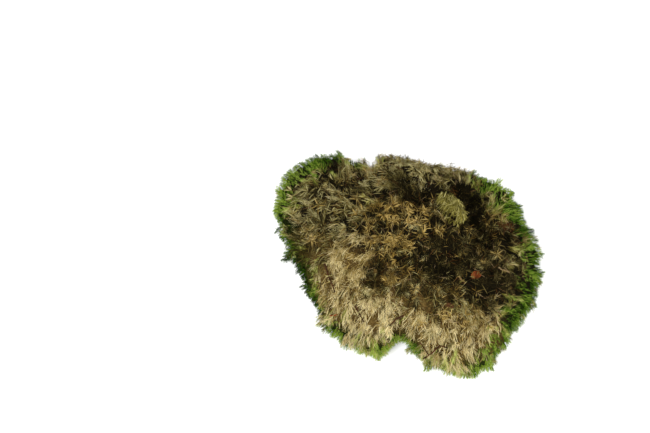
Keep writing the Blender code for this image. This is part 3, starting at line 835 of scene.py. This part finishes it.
def nearest_lock(places, locks):
    """For each place, its nearest lock, its distance to it and the gap to the second nearest."""
    index = np.empty(len(places), dtype=np.int64)
    first = np.empty(len(places))
    second = np.empty(len(places))
    for start in range(0, len(places), AT_ONCE):
        part = slice(start, start + AT_ONCE)
        away = places[part][:, None] - locks["place"][None]
        along = np.einsum("nlk,lk->nl", away, locks["way"])
        reach = np.sqrt(np.sum(away ** 2, axis=2) - (1 - LOCK_SLENDERNESS ** 2) * along ** 2)
        two = np.partition(reach, 1, axis=1)[:, :2]
        index[part] = reach.argmin(axis=1)
        first[part], second[part] = two[:, 0], two[:, 1]
    return index, first, second


# How far each kind's locks stray from the flow and how high its shoots stand more than others, in radians,
# how far its shoots are drawn together, how much its locks differ in tone, which also sets how much painted
# shade darkens their edges and painted light brightens their middles, and how far each shoot strays by itself
STRAYING = {
    "straw": (0.28, 0.02, 0.55, 0.17, 0.09), "golden": (1.20, 0.55, 0.34, 0.15, 0.20),
    "olive": (0.60, 0.12, 0.52, 0.20, 0.12), "dark": (1.10, 0.40, 0.30, 0.13, 0.20),
    "khaki": (0.55, 0.22, 0.40, 0.14, 0.13), "rust": (1.20, 0.45, 0.30, 0.12, 0.18),
    "tipped": (0.40, 0.10, 0.40, 0.12, 0.13), "green": (0.20, 0.50, 0.08, 0.07, 0.08),
}


def by_kind(kinds, part):
    """One of the straying numbers for each shoot."""
    return np.array([STRAYING[kind][part] for kind in kinds])


def lay_in_locks(spots, kinds, tone, lifts, locks, flow, chance):
    """Turns, lifts and draws together each lock's shoots. Returns the tips, flow, lifts and tone shifts."""
    index, first, second = nearest_lock(spots["place"], locks)
    edge = np.clip((second - first) / (LOCK_EDGE * LOCK_CELL), 0, 1)
    count = len(locks["place"])
    flow = turned(flow, spots["normal"], locks["turn"][index])
    play = (LOCK_LIFT_PLAY + STRAYING_LIFT_PLAY * by_kind(kinds, 0)) * chance.normal(0, 1, count)[index]
    lifts = lifts + by_kind(kinds, 1) + play
    inward = locks["place"][index] + flow * LOCK_ONWARD - spots["place"]
    inward -= LOCK_COMBED * np.einsum("ij,ij->i", inward, flow)[:, None] * flow
    draw = by_kind(kinds, 2)
    tips = spots["place"] + inward * (draw * edge)[:, None]
    rise = LOCK_RELIEF * draw * (edge - LOCK_CREST) + chance.normal(0, LOCK_RISE_PLAY, count)[index]
    rise += RIM_FUZZ * np.clip(1 - spots["inward"] / RIM_FUZZ_WIDTH, 0, 1) * (kinds != "green")
    rise -= SUNK_DEPTH * np.clip(1 - tone / SUNK_TONE, 0, 1)
    tips += spots["normal"] * np.minimum(rise, HIGHEST_RISE)[:, None]
    # Each lock's own tone, with painted shade at its edge and painted light in its middle
    shift = by_kind(kinds, 3) * (chance.normal(0, 1, count)[index] + 2 * (edge - LOCK_PAINTED_LIGHT))
    return tips, flow, lifts, shift


def root_shoots(skin, tips, normals, axes, lengths):
    """Roots of the shoots with these tips; one that would hang outside is raised until it is rooted."""
    roots = tips - axes * lengths[:, None]
    for number in range(len(roots)):
        if skin.depth_of(roots[number]) < ROOTED_DEPTH:
            axes[number] = unit(axes[number] * LEANING_KEPT + normals[number])
            lengths[number] *= LENGTH_KEPT
            roots[number] = tips[number] - axes[number] * lengths[number]
    return roots


def usual_lengths(kinds):
    return np.array([SHOOT_KINDS[kind].length for kind in kinds])


def lay_shoots(skin, spots, kinds, lifts, shares, raise_tip, chance, locks=None, tone=None):
    """Roots, axes and lengths of shoots whose tips end at the spots, in locks if any; and tone shifts."""
    lengths = usual_lengths(kinds) * chance.uniform(*shares, len(kinds))
    flow = flow_along(spots, chance)
    tips, shift = spots["place"], np.zeros(len(kinds))
    if locks is not None:
        tips, flow, lifts, shift = lay_in_locks(spots, kinds, tone, lifts, locks, flow, chance)
    axes = lifted(flow, spots["normal"], np.clip(lifts, FLATTEST_LIFT, STEEPEST_LIFT))
    axes = unit(axes + chance.normal(0, 1, axes.shape) * by_kind(kinds, 4)[:, None])
    tips = tips + spots["normal"] * raise_tip
    return (root_shoots(skin, tips, spots["normal"], axes, lengths), axes, lengths), shift


def add_to(basket, spots, kinds, laid, tone, roll):
    """Adds shoots to the basket, with what it takes to place each."""
    roots, axes, lengths = laid
    turn = shoot_frames(axes, -spots["normal"], roll)
    size = lengths / usual_lengths(kinds)
    basket.append({"kind": kinds, "root": roots, "turn": turn, "size": size, "tone": tone})


def underside_shoots(skin, spots, chance, basket):
    """The matted dead shoots, in locks, and the living ones at the underside's rim. Returns the locks."""
    spots = one_per_cell(spots, UNDERSIDE_CELL, chance, UNDERSIDE_SHOOTS)
    locks = place_locks(spots, chance)
    index, _, _ = nearest_lock(spots["place"], locks)
    drawn = dict(spots, place=(1 - LOCK_SHARE) * spots["place"] + LOCK_SHARE * locks["place"][index])
    kinds, tone = kinds_and_tones(drawn, chance)
    kinds, tone = mix_in_others(kinds, tone, spots["place"], chance)
    count = len(kinds)
    life = greenness(spots) + LOCK_LIFE_PLAY * chance.normal(0, 1, len(locks["place"]))[index]
    tipped = (life > TIPPED_LIFE[0]) & (life < TIPPED_LIFE[1]) & (chance.random(count) < TIPPED_SHARE)
    living = (life > 0) & ~tipped
    kinds[tipped] = "tipped"
    kinds[living] = "green"
    tone[tipped] = TIPPED_TONE
    tone[living] = by_bearing(spots["place"][living], GREEN_TONE)
    lifts = np.radians(np.interp(spots["form"][:, 2], *UNDERSIDE_LIFTS))
    laid, shift = lay_shoots(
        skin, spots, kinds, lifts, UNDERSIDE_LENGTHS, UNDERSIDE_TIPS, chance, locks, tone)
    patchy = soft_patches(spots["place"], UNDERSIDE_PATCHES)
    # Painted shade in hollows and painted light on crests
    shade = -np.clip(spots["hollow"] / HOLLOW_DEPTH, -CREST_LIGHT, 1.0) * HOLLOW_SHADE
    tone = tone + shift + patchy + shade + chance.normal(0, UNDERSIDE_TONE_PLAY, count)
    add_to(basket, spots, kinds, laid, tone, chance.normal(0, 0.7, count))
    return locks


def dome_shoots(skin, spots, chance, basket):
    """The living shoots, upright on the dome, with a few browned ones."""
    spots = one_per_cell(spots, DOME_CELL, chance, DOME_SHOOTS)
    count = len(spots["place"])
    life = greenness(spots)
    fading = np.where(chance.random(count) < DOME_TIPPED, "tipped", "straw")
    kinds = np.where(life > DOME_LIFE, "green", fading)
    kinds[(chance.random(count) < DOME_BROWNED) & (kinds == "green")] = "khaki"
    lifts = np.radians(np.interp(spots["form"][:, 2], *DOME_LIFTS))
    lifts[kinds != "green"] -= BROWN_FLATTER
    laid, _ = lay_shoots(skin, spots, kinds, lifts, DOME_LENGTHS, DOME_TIPS, chance)
    tone = by_bearing(spots["place"], GREEN_TONE) + soft_patches(spots["place"], DOME_PATCHES)
    tone += chance.normal(0, DOME_TONE_PLAY, count)
    add_to(basket, spots, kinds, laid, tone, chance.uniform(-math.pi, math.pi, count))


def pressed_shoots(skin, spots, chance, basket):
    """Living shoots pressed flat under the clump's weight."""
    spots = one_per_cell(spots, PRESSED_CELL, chance, PRESSED_SHOOTS)
    count = len(spots["place"])
    kinds = np.full(count, "green", dtype="U8")
    lifts = np.full(count, PRESSED_LIFT)
    laid, _ = lay_shoots(skin, spots, kinds, lifts, PRESSED_LENGTHS, PRESSED_TIPS, chance)
    tone = PRESSED_TONE + chance.normal(0, DOME_TONE_PLAY, count)
    add_to(basket, spots, kinds, laid, tone, chance.normal(math.pi, 0.5, count))


# Single bent leaves, which start a little above the surface

JUST_ABOVE = 0.0004


def bend_blades(roots, starts, ends, lengths, widths):
    """Corners of blades that leave their roots along the starts and turn to the ends."""
    corners, _ = BLADE
    steps = len(BLADE_STEPS) - 1
    step = np.rint(corners[:, 2] * steps).astype(int)
    share = BLADE_STEPS[None, :, None]
    ways = unit(starts[:, None] * (1 - share) + ends[:, None] * share)
    hops = 0.5 * (ways[:, 1:] + ways[:, :-1]) * (lengths / steps)[:, None, None]
    middles = np.concatenate([roots[:, None], roots[:, None] + np.cumsum(hops, axis=1)], axis=1)
    sides = unit(np.cross(ways, np.array([0.0, 0.0, 1.0]) + 0.3 * starts[:, None]))
    ups = np.cross(sides, ways)
    aside, upward = ((corners[:, part] * widths[:, None])[..., None] for part in (0, 1))
    return middles[:, step] + aside * sides[:, step] + upward * ups[:, step]


def join_blades(name, kind, roots, starts, ends, lengths, widths, tones):
    corners = bend_blades(roots, starts, ends, lengths, widths)
    count, each = corners.shape[:2]
    faces = (BLADE[1][None] + (np.arange(count) * each)[:, None, None]).reshape(-1, 3)
    shares = np.tile(0.10 + 0.85 * BLADE[0][:, 2], count)
    piece = join_piece(name, corners.reshape(-1, 3), faces, np.repeat(tones, each), shares, each)
    finish_piece(piece, leaf_material(kind))


def level_ways(bearing, climb):
    """Unit directions at these bearings and climbs, in radians."""
    level = np.cos(climb)
    return np.stack([level * np.cos(bearing), level * np.sin(bearing), np.sin(climb)], axis=1)


# The pale tuft lies like a drooping plume: middle, half length, half width and height in metres, and its
# bearing
PLUME_MIDDLE = np.array([0.0355, 0.0290])
PLUME_SIZE = np.array([0.0160, 0.0080, 0.0058])
PLUME_BEARING = math.radians(-64)
PLUME_BLADES = 620
PLUME_LENGTHS = (0.0050, 0.0085)
PLUME_WIDTHS = (0.00042, 0.00075)
PLUME_SUNK = 0.0015
# How its leaves hang aside, climb and fall, in degrees
PLUME_HANGS, PLUME_CLIMBS, PLUME_FALLS = (15, 75), (0, 38), (-60, -15)


def pale_tuft(skin, chance):
    """The pale tuft: slender curved leaves all over a drooping plume, to its foot and out to its left."""
    count = PLUME_BLADES
    turn, reach = chance.uniform(-math.pi, math.pi, count), np.sqrt(chance.uniform(0, 1, count))
    onward, aside = reach * np.cos(turn), reach * np.sin(turn)
    length, width, height = PLUME_SIZE
    along = np.array([math.cos(PLUME_BEARING), math.sin(PLUME_BEARING)])
    left = np.array([-along[1], along[0]])
    width = width * (1 - 0.25 * onward)
    level = PLUME_MIDDLE + (onward * length)[:, None] * along + (aside * width)[:, None] * left
    heights = np.array([skin.top_at(x, y)[2] for x, y in level])
    dome = np.sqrt(1 - 0.98 * reach ** 2)
    layer = chance.uniform(0, 1, count) ** 0.6
    roots = np.c_[level, heights + JUST_ABOVE + height * dome * layer]
    leave = PLUME_BEARING - np.radians(16 - 30 * aside + chance.normal(0, 24, count))
    hang = leave - np.radians(chance.uniform(*PLUME_HANGS, count))
    starts = level_ways(leave, np.radians(chance.uniform(*PLUME_CLIMBS, count)))
    ends = level_ways(hang, np.radians(chance.uniform(*PLUME_FALLS, count)))
    lengths = chance.uniform(*PLUME_LENGTHS, count) * (1 - 0.25 * np.clip(onward, 0, 1))
    widths = chance.uniform(*PLUME_WIDTHS, count)
    # Painted shade and light: leaves lower in the plume are darker, those on its left side lighter
    tones = 0.06 + 0.52 * layer + 0.12 * aside + chance.normal(0, 0.26, count)
    roots = roots - starts * PLUME_SUNK
    join_blades("pale_tuft_leaves", "khaki", roots, starts, ends, lengths, widths, tones)


# Curled shoot tips seen from above: how many of each kind, besides the light star on the right shoulder
STARS = {"golden": 56, "olive": 60, "dark": 60, "khaki": 6}
STAR_CELL = 0.006
STAR_STEEPEST = 0.75
STAR_INWARD = 0.008
STAR_LEAVES = 8
STAR_LENGTHS = (0.0042, 0.0085)
STAR_WIDTHS = (0.0004, 0.0008)
STAR_SUNK = 0.0010
# How a star's leaves climb and fall in degrees, and how wide its fan is in radians
STAR_CLIMBS, STAR_FALLS, STAR_FANS = (5, 60), (40, 100), (0.5, 1.8)
LIGHT_STAR = (77.0, 46.0)
LIGHT_STAR_HEIGHT, LIGHT_STAR_FACES, LIGHT_STAR_TONE = 0.0018, (0.3, 0.2, 0.93), 0.86


def star_tips(places, normals, kinds, tones, fans, chance):
    """Shoot tips whose curved leaves spread in a fan, as wide as given in radians, round their middle."""
    for kind in STARS:
        some = np.flatnonzero(kinds == kind)
        star = np.repeat(some, STAR_LEAVES)
        count = len(star)
        middle = chance.uniform(-math.pi, math.pi, len(some))
        turn = np.repeat(middle, STAR_LEAVES) + fans[star] * chance.uniform(-1, 1, count)
        sweep = np.repeat(chance.normal(0, 0.7, len(some)), STAR_LEAVES)
        climb = np.radians(chance.uniform(*STAR_CLIMBS, count))
        starts = unit(level_ways(turn, climb) + 0.6 * (normals[star] - (0, 0, 1)))
        bend = turn + sweep + chance.normal(0, 0.4, count)
        ends = level_ways(bend, climb - np.radians(chance.uniform(*STAR_FALLS, count)))
        roots = places[star] - normals[star] * STAR_SUNK
        lengths = chance.uniform(*STAR_LENGTHS, count)
        widths = chance.uniform(*STAR_WIDTHS, count)
        leaf_tones = tones[star] + chance.normal(0, 0.24, count)
        join_blades(f"{kind}_stars", kind, roots, starts, ends, lengths, widths, leaf_tones)


def scattered_stars(skin, spots, chance):
    """Stars and parts of stars among the dead shoots, and the light star of the photograph."""
    spots = chosen(spots, (spots["form"][:, 2] > STAR_STEEPEST) & (spots["inward"] > STAR_INWARD))
    spots = one_per_cell(spots, STAR_CELL, chance)
    kinds, tone = kinds_and_tones(spots, chance)
    kept = np.zeros(len(kinds), dtype=bool)
    for kind, wanted in STARS.items():
        here = np.flatnonzero((kinds == kind) & (tone > SUNK_TONE))
        kept[chance.permutation(here)[:wanted]] = True
    places = spots["place"][kept] + spots["normal"][kept] * JUST_ABOVE
    light = skin.top_at(LIGHT_STAR[0] * MM, LIGHT_STAR[1] * MM) + (0, 0, LIGHT_STAR_HEIGHT)
    places = np.vstack([places, light])
    normals = np.vstack([spots["form"][kept], LIGHT_STAR_FACES])
    kinds = np.append(kinds[kept], "khaki")
    tones = np.append(tone[kept] + 0.04, LIGHT_STAR_TONE)
    fans = np.append(chance.uniform(*STAR_FANS, kept.sum()), math.pi)
    star_tips(places, normals, kinds, tones, fans, chance)


# Leaves that lie over the loose pieces: how many for each metre of a piece, and on a short one
LEAVES_OVER = 400
FEWEST_LEAVES_OVER = 6
OVER_LENGTHS = (0.0045, 0.0075)
OVER_WIDTHS = (0.0005, 0.0008)
OVER_HEIGHT = 0.0006
OVER_CLIMBS = (15, 35)
OVER_TONES = (0.05, 0.9)


def places_along(node, chance):
    """Places on top of a long thin piece, and the bearing of its length at each."""
    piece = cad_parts[node]
    corners = np.array([piece.matrix_world @ corner.co for corner in piece.data.vertices])
    middle = corners.mean(axis=0)
    _, _, main = np.linalg.svd(corners - middle, full_matrices=False)
    along = (corners - middle) @ main[0]
    count = max(FEWEST_LEAVES_OVER, int(LEAVES_OVER * np.ptp(along)))
    places = []
    for share in chance.uniform(0.02, 0.98, count):
        wanted = along.min() + share * np.ptp(along)
        near = corners[np.abs(along - wanted).argsort()[:8]]
        places.append(np.append(near[:, :2].mean(axis=0), near[:, 2].max()))
    return places, [math.atan2(main[0][1], main[0][0])] * count


def leaves_over_loose_pieces(chance):
    """Slender dead leaves that cross the twigs and scraps, which lie half sunk among the shoots."""
    nodes = [node for row in LOOSE_PIECES.values() for node in row[-1]]
    found = [places_along(node, chance) for node in nodes]
    places, ways = (np.concatenate(part) for part in zip(*found))
    count = len(places)
    turn = ways + np.radians(chance.choice([-90, 90], count) + chance.normal(0, 32, count))
    climb = np.radians(chance.uniform(*OVER_CLIMBS, count))
    starts, ends = level_ways(turn, climb), level_ways(turn + chance.normal(0, 0.3, count), -climb - 0.2)
    lengths = chance.uniform(*OVER_LENGTHS, count)
    roots = places + (0, 0, OVER_HEIGHT) - starts * (0.45 * lengths)[:, None]
    _, tones = kinds_and_tones({"place": places}, chance)
    tones = np.clip(tones + 0.10 + chance.normal(0, 0.15, count), *OVER_TONES)
    widths = chance.uniform(*OVER_WIDTHS, count)
    join_blades("leaves_over_twigs", "olive", roots, starts, ends, lengths, widths, tones)


# Long single leaves that lie on top of the locks
STRANDS, STRAND_CELL = 1000, 0.0046
STRAND_INWARD = 0.004
STRAND_LENGTHS = (0.0065, 0.0120)
STRAND_WIDTH_SHARES = (0.75, 1.3)
STRAND_CLIMBS, STRAND_FALLS = (0.10, 0.50), (0.10, 0.60)
STRAND_WIDTHS = {"straw": 0.00040, "olive": 0.00055, "khaki": 0.00055, "dark": 0.00055}


def long_strands(spots, locks, chance):
    """Single long leaves that lie over the locks, the way that each lock lies."""
    spots = chosen(spots, spots["inward"] > STRAND_INWARD)
    spots = one_per_cell(spots, STRAND_CELL, chance, STRANDS)
    kinds, tone = kinds_and_tones(spots, chance)
    index, _, _ = nearest_lock(spots["place"], locks)
    flow = turned(flow_along(spots, chance), spots["normal"], locks["turn"][index])
    for kind, width in STRAND_WIDTHS.items():
        some = (kinds == kind) & (tone > SUNK_TONE)
        count = int(some.sum())
        along, normal = flow[some], spots["normal"][some]
        aside = np.cross(normal, along)
        turn = chance.normal(0, 0.12 + 0.15 * STRAYING[kind][0], (2, count, 1))
        climb, fall = chance.uniform(*STRAND_CLIMBS, count), chance.uniform(*STRAND_FALLS, count)
        starts = unit(along + turn[0] * aside + climb[:, None] * normal)
        ends = unit(along + (turn[0] + 0.6 * turn[1]) * aside - fall[:, None] * normal)
        lengths = chance.uniform(*STRAND_LENGTHS, count)
        roots = spots["place"][some] + normal * JUST_ABOVE - starts * (0.5 * lengths)[:, None]
        tones = tone[some] + chance.normal(0, 0.22, count)
        widths = width * chance.uniform(*STRAND_WIDTH_SHARES, count)
        join_blades(f"{kind}_strands", kind, roots, starts, ends, lengths, widths, tones)


# Stalks: few on the straw-coloured parts, and dark or pale
STALKS, STALK_CELL = 520, 0.0040
STALK_STEEPEST = 0.75
STALKS_ON_STRAW = 0.02
STALK_HEIGHT = 0.0012
STALK_LENGTHS = (0.45, 1.35)
# How far they turn from the flow, and how high they stand and how much that differs, in radians
STALK_TURN, STALK_LIFT, STALK_LIFT_PLAY = 1.1, 0.22, 0.2
DARK_STALKS = 0.45
DARK_STALK_TONES = (0.02, 0.35)
PALE_STALK_TONES = (0.40, 0.80)


def stray_stalks(spots, chance, basket):
    """Bare stalks and torn leaves that lie loose over the dead shoots."""
    spots = chosen(spots, spots["form"][:, 2] > STALK_STEEPEST)
    under, tone = kinds_and_tones(spots, chance)
    some = (under != "straw") | (chance.random(len(under)) < STALKS_ON_STRAW)
    spots = chosen(spots, some & (tone > SUNK_TONE))
    spots = one_per_cell(spots, STALK_CELL, chance, STALKS)
    count = len(spots["place"])
    kinds = np.full(count, "stalk", dtype="U8")
    lengths = usual_lengths(kinds) * chance.uniform(*STALK_LENGTHS, count)
    flow = flow_along(spots, chance)
    flow = turned(flow, spots["normal"], chance.normal(0, STALK_TURN, count))
    axes = lifted(flow, spots["normal"], np.abs(chance.normal(STALK_LIFT, STALK_LIFT_PLAY, count)))
    roots = spots["place"] + spots["normal"] * STALK_HEIGHT - axes * (0.6 * lengths)[:, None]
    dark = chance.random(count) < DARK_STALKS
    tone = np.where(dark, chance.uniform(*DARK_STALK_TONES, count), chance.uniform(*PALE_STALK_TONES, count))
    add_to(basket, spots, kinds, (roots, axes, lengths), tone, chance.uniform(-math.pi, math.pi, count))


# The pressed face lies lower than this and faces down by more than this, and loose things lie where dead
# shoots face up by more than this
PRESSED_HEIGHT, PRESSED_FORM = 0.0012, -0.7
LOOSE_UPRIGHT = 0.3


def cover_with_shoots(skin):
    """All shoots and single leaves, with the same chance each time."""
    chance = np.random.default_rng(7)
    spots = skin.scatter(chance, SPOTS)
    upright = spots["form"][:, 2]
    pressed = (spots["place"][:, 2] < PRESSED_HEIGHT) & (upright < PRESSED_FORM)
    underside = on_underside(spots) & ~pressed
    basket = []
    locks = underside_shoots(skin, chosen(spots, underside), chance, basket)
    dead = chosen(spots, (upright > LOOSE_UPRIGHT) & (greenness(spots) < 0))
    stray_stalks(dead, chance, basket)
    scattered_stars(skin, dead, chance)
    long_strands(dead, locks, chance)
    pale_tuft(skin, chance)
    leaves_over_loose_pieces(chance)
    dome_shoots(skin, chosen(spots, ~underside & ~pressed), chance, basket)
    pressed_shoots(skin, chosen(spots, pressed), chance, basket)
    shoots = {name: np.concatenate([part[name] for part in basket]) for name in basket[0]}
    for kind in SHOOT_KINDS:
        grow(kind, chosen(shoots, shoots["kind"] == kind), chance)


# The core under the shoots

CORE_DEPTH = 0.0033
CORE_CELL = 0.0020
CRUMB_SIZE = 0.006
CRUMB_RELIEF = 0.0024


def merged_copy(name):
    """A copy of the clump whose faces share their corners."""
    copy = bpy.data.objects.new(name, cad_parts[CLUMP].data.copy())
    bpy.context.scene.collection.objects.link(copy)
    make_active(copy)
    set_mode("EDIT")
    bpy.ops.mesh.select_all(action="SELECT")
    bpy.ops.mesh.remove_doubles(threshold=0.000001)
    set_mode("OBJECT")
    return copy


def sink_core(core, skin):
    """Moves the core's corners inward until each lies deep enough under the clump's outside."""
    places = corners_of(core.data)
    normals = np.array([corner.normal for corner in core.data.vertices])
    depths = np.array([skin.depth_of(place) for place in places])
    places -= normals * np.clip(CORE_DEPTH - depths, 0, CORE_DEPTH)[:, None]
    core.data.vertices.foreach_set("co", places.ravel())
    core.data.update()


def model_core(skin):
    """Crumbly humus and old stems, everywhere a few millimetres under the clump's outside."""
    core = merged_copy("humus_core")
    apply_modifier(core, "SMOOTH", factor=0.5, iterations=5)
    apply_modifier(core, "DISPLACE", strength=-CORE_DEPTH, mid_level=0.0)
    apply_modifier(core, "REMESH", mode="VOXEL", voxel_size=CORE_CELL)
    sink_core(core, skin)
    crumbs = bpy.data.textures.new("crumbs", "CLOUDS")
    crumbs.noise_scale = CRUMB_SIZE
    crumbs.noise_depth = 2
    apply_modifier(
        core, "DISPLACE", texture=crumbs, texture_coords="LOCAL", strength=CRUMB_RELIEF, mid_level=0.5)
    core.data.materials.clear()
    finish_piece(core, core_material())


# Twigs, stalks, needle and leaf scraps: dark and light colour, roughness and the nodes
LOOSE_PIECES = {
    "dark twig": ((22, 12, 6), (80, 50, 30), 0.8, ["twig_left", "twig_mid", "twig_forked", "twig_low_left"]),
    "pale stalk": ((104, 80, 52), (196, 172, 130), 0.6, ["twig_pale"]),
    "dry stalk": ((64, 48, 27), (140, 116, 74), 0.6, ["straw_mid", "straw_right"]),
    "red needle": ((72, 28, 12), (128, 58, 28), 0.5, ["needle_red"]),
    "dead leaf": ((32, 14, 6), (148, 74, 32), 0.8, ["leaf_scrap"]),
    "dead bark": ((40, 26, 13), (78, 51, 28), 0.8, ["bark_scrap"]),
}


def bark_material(name, dark, light, roughness):
    looks = Material(name)
    place = looks.place()
    streaks, patches = looks.noise(place, 1400.0, 4.0), looks.noise(place, 220.0, 2.0)
    stops = [(0.34, dark), (0.50, [(a + b) / 2 for a, b in zip(dark, light)]), (0.66, light)]
    colour = looks.ramp(streaks * 0.5 + patches * 0.5, stops)
    bump = looks.bump(streaks, 0.6, 0.0002)
    return looks.set(Base_Color=colour, Roughness=roughness, Specular_IOR_Level=LEAF_SHINE, Normal=bump)


def dress_loose_pieces():
    """Gives the CAD nodes of the loose pieces their looks, and leaves them where they are."""
    for name, (dark, light, roughness, nodes) in LOOSE_PIECES.items():
        looks = bark_material(name, dark, light, roughness)
        for node in nodes:
            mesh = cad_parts[node].data
            mesh.materials.clear()
            mesh.materials.append(looks)


# Studio

SKY_STRENGTH = 0.48
SOFTBOXES = {
    "key softbox": ((-0.30, -0.72, 1.24), 0.7, 33),
    "fill softbox": ((0.9, -0.3, 0.9), 0.9, 11),
}


def make_camera():
    scale = CAMERA_LENS / CAMERA_SENSOR * PHOTO_WIDTH / CAMERA_DISTANCE
    right = Vector((1, 0, 0))
    up = Vector((0, math.sin(CAMERA_ELEVATION), math.cos(CAMERA_ELEVATION)))
    back = Vector((0, -math.cos(CAMERA_ELEVATION), math.sin(CAMERA_ELEVATION)))
    across = (ORIGIN_PIXEL[0] - PHOTO_WIDTH / 2) / scale
    upwards = (ORIGIN_PIXEL[1] - PHOTO_HEIGHT / 2) / scale
    lens = bpy.data.cameras.new("camera")
    lens.lens = CAMERA_LENS
    lens.sensor_width = CAMERA_SENSOR
    lens.clip_end = 20
    camera = bpy.data.objects.new("camera", lens)
    camera.location = back * CAMERA_DISTANCE - right * across + up * upwards
    camera.rotation_euler = (math.pi / 2 - CAMERA_ELEVATION, 0, 0)
    bpy.context.scene.collection.objects.link(camera)
    bpy.context.scene.camera = camera


def make_floor():
    bpy.ops.mesh.primitive_plane_add(size=12, location=(0, 0, 0))
    floor = bpy.context.object
    floor.name = "floor"
    looks = Material("floor paper")
    floor.data.materials.append(looks.set(Base_Color=(0.93, 0.93, 0.93, 1), Roughness=0.9))


def add_softbox(name, place, target, width, power):
    light = bpy.data.lights.new(name, "AREA")
    light.shape = "SQUARE"
    light.size = width
    light.energy = power
    lamp = bpy.data.objects.new(name, light)
    lamp.location = place
    lamp.rotation_euler = (Vector(target) - Vector(place)).to_track_quat("-Z", "Y").to_euler()
    bpy.context.scene.collection.objects.link(lamp)


def make_studio():
    world = bpy.data.worlds.new("studio")
    world.use_nodes = True
    sky = world.node_tree.nodes["Background"]
    sky.inputs["Color"].default_value = (1, 1, 1, 1)
    sky.inputs["Strength"].default_value = SKY_STRENGTH
    bpy.context.scene.world = world
    for name, (place, width, power) in SOFTBOXES.items():
        add_softbox(name, place, (0, 0, 0.03), width, power)
    bpy.context.scene.view_settings.view_transform = "Standard"
    make_floor()


def main():
    make_camera()
    merged = merged_copy("skin")
    skin = Skin(merged.data)
    bpy.data.objects.remove(merged, do_unlink=True)
    model_core(skin)
    cover_with_shoots(skin)
    dress_loose_pieces()
    make_studio()


main()
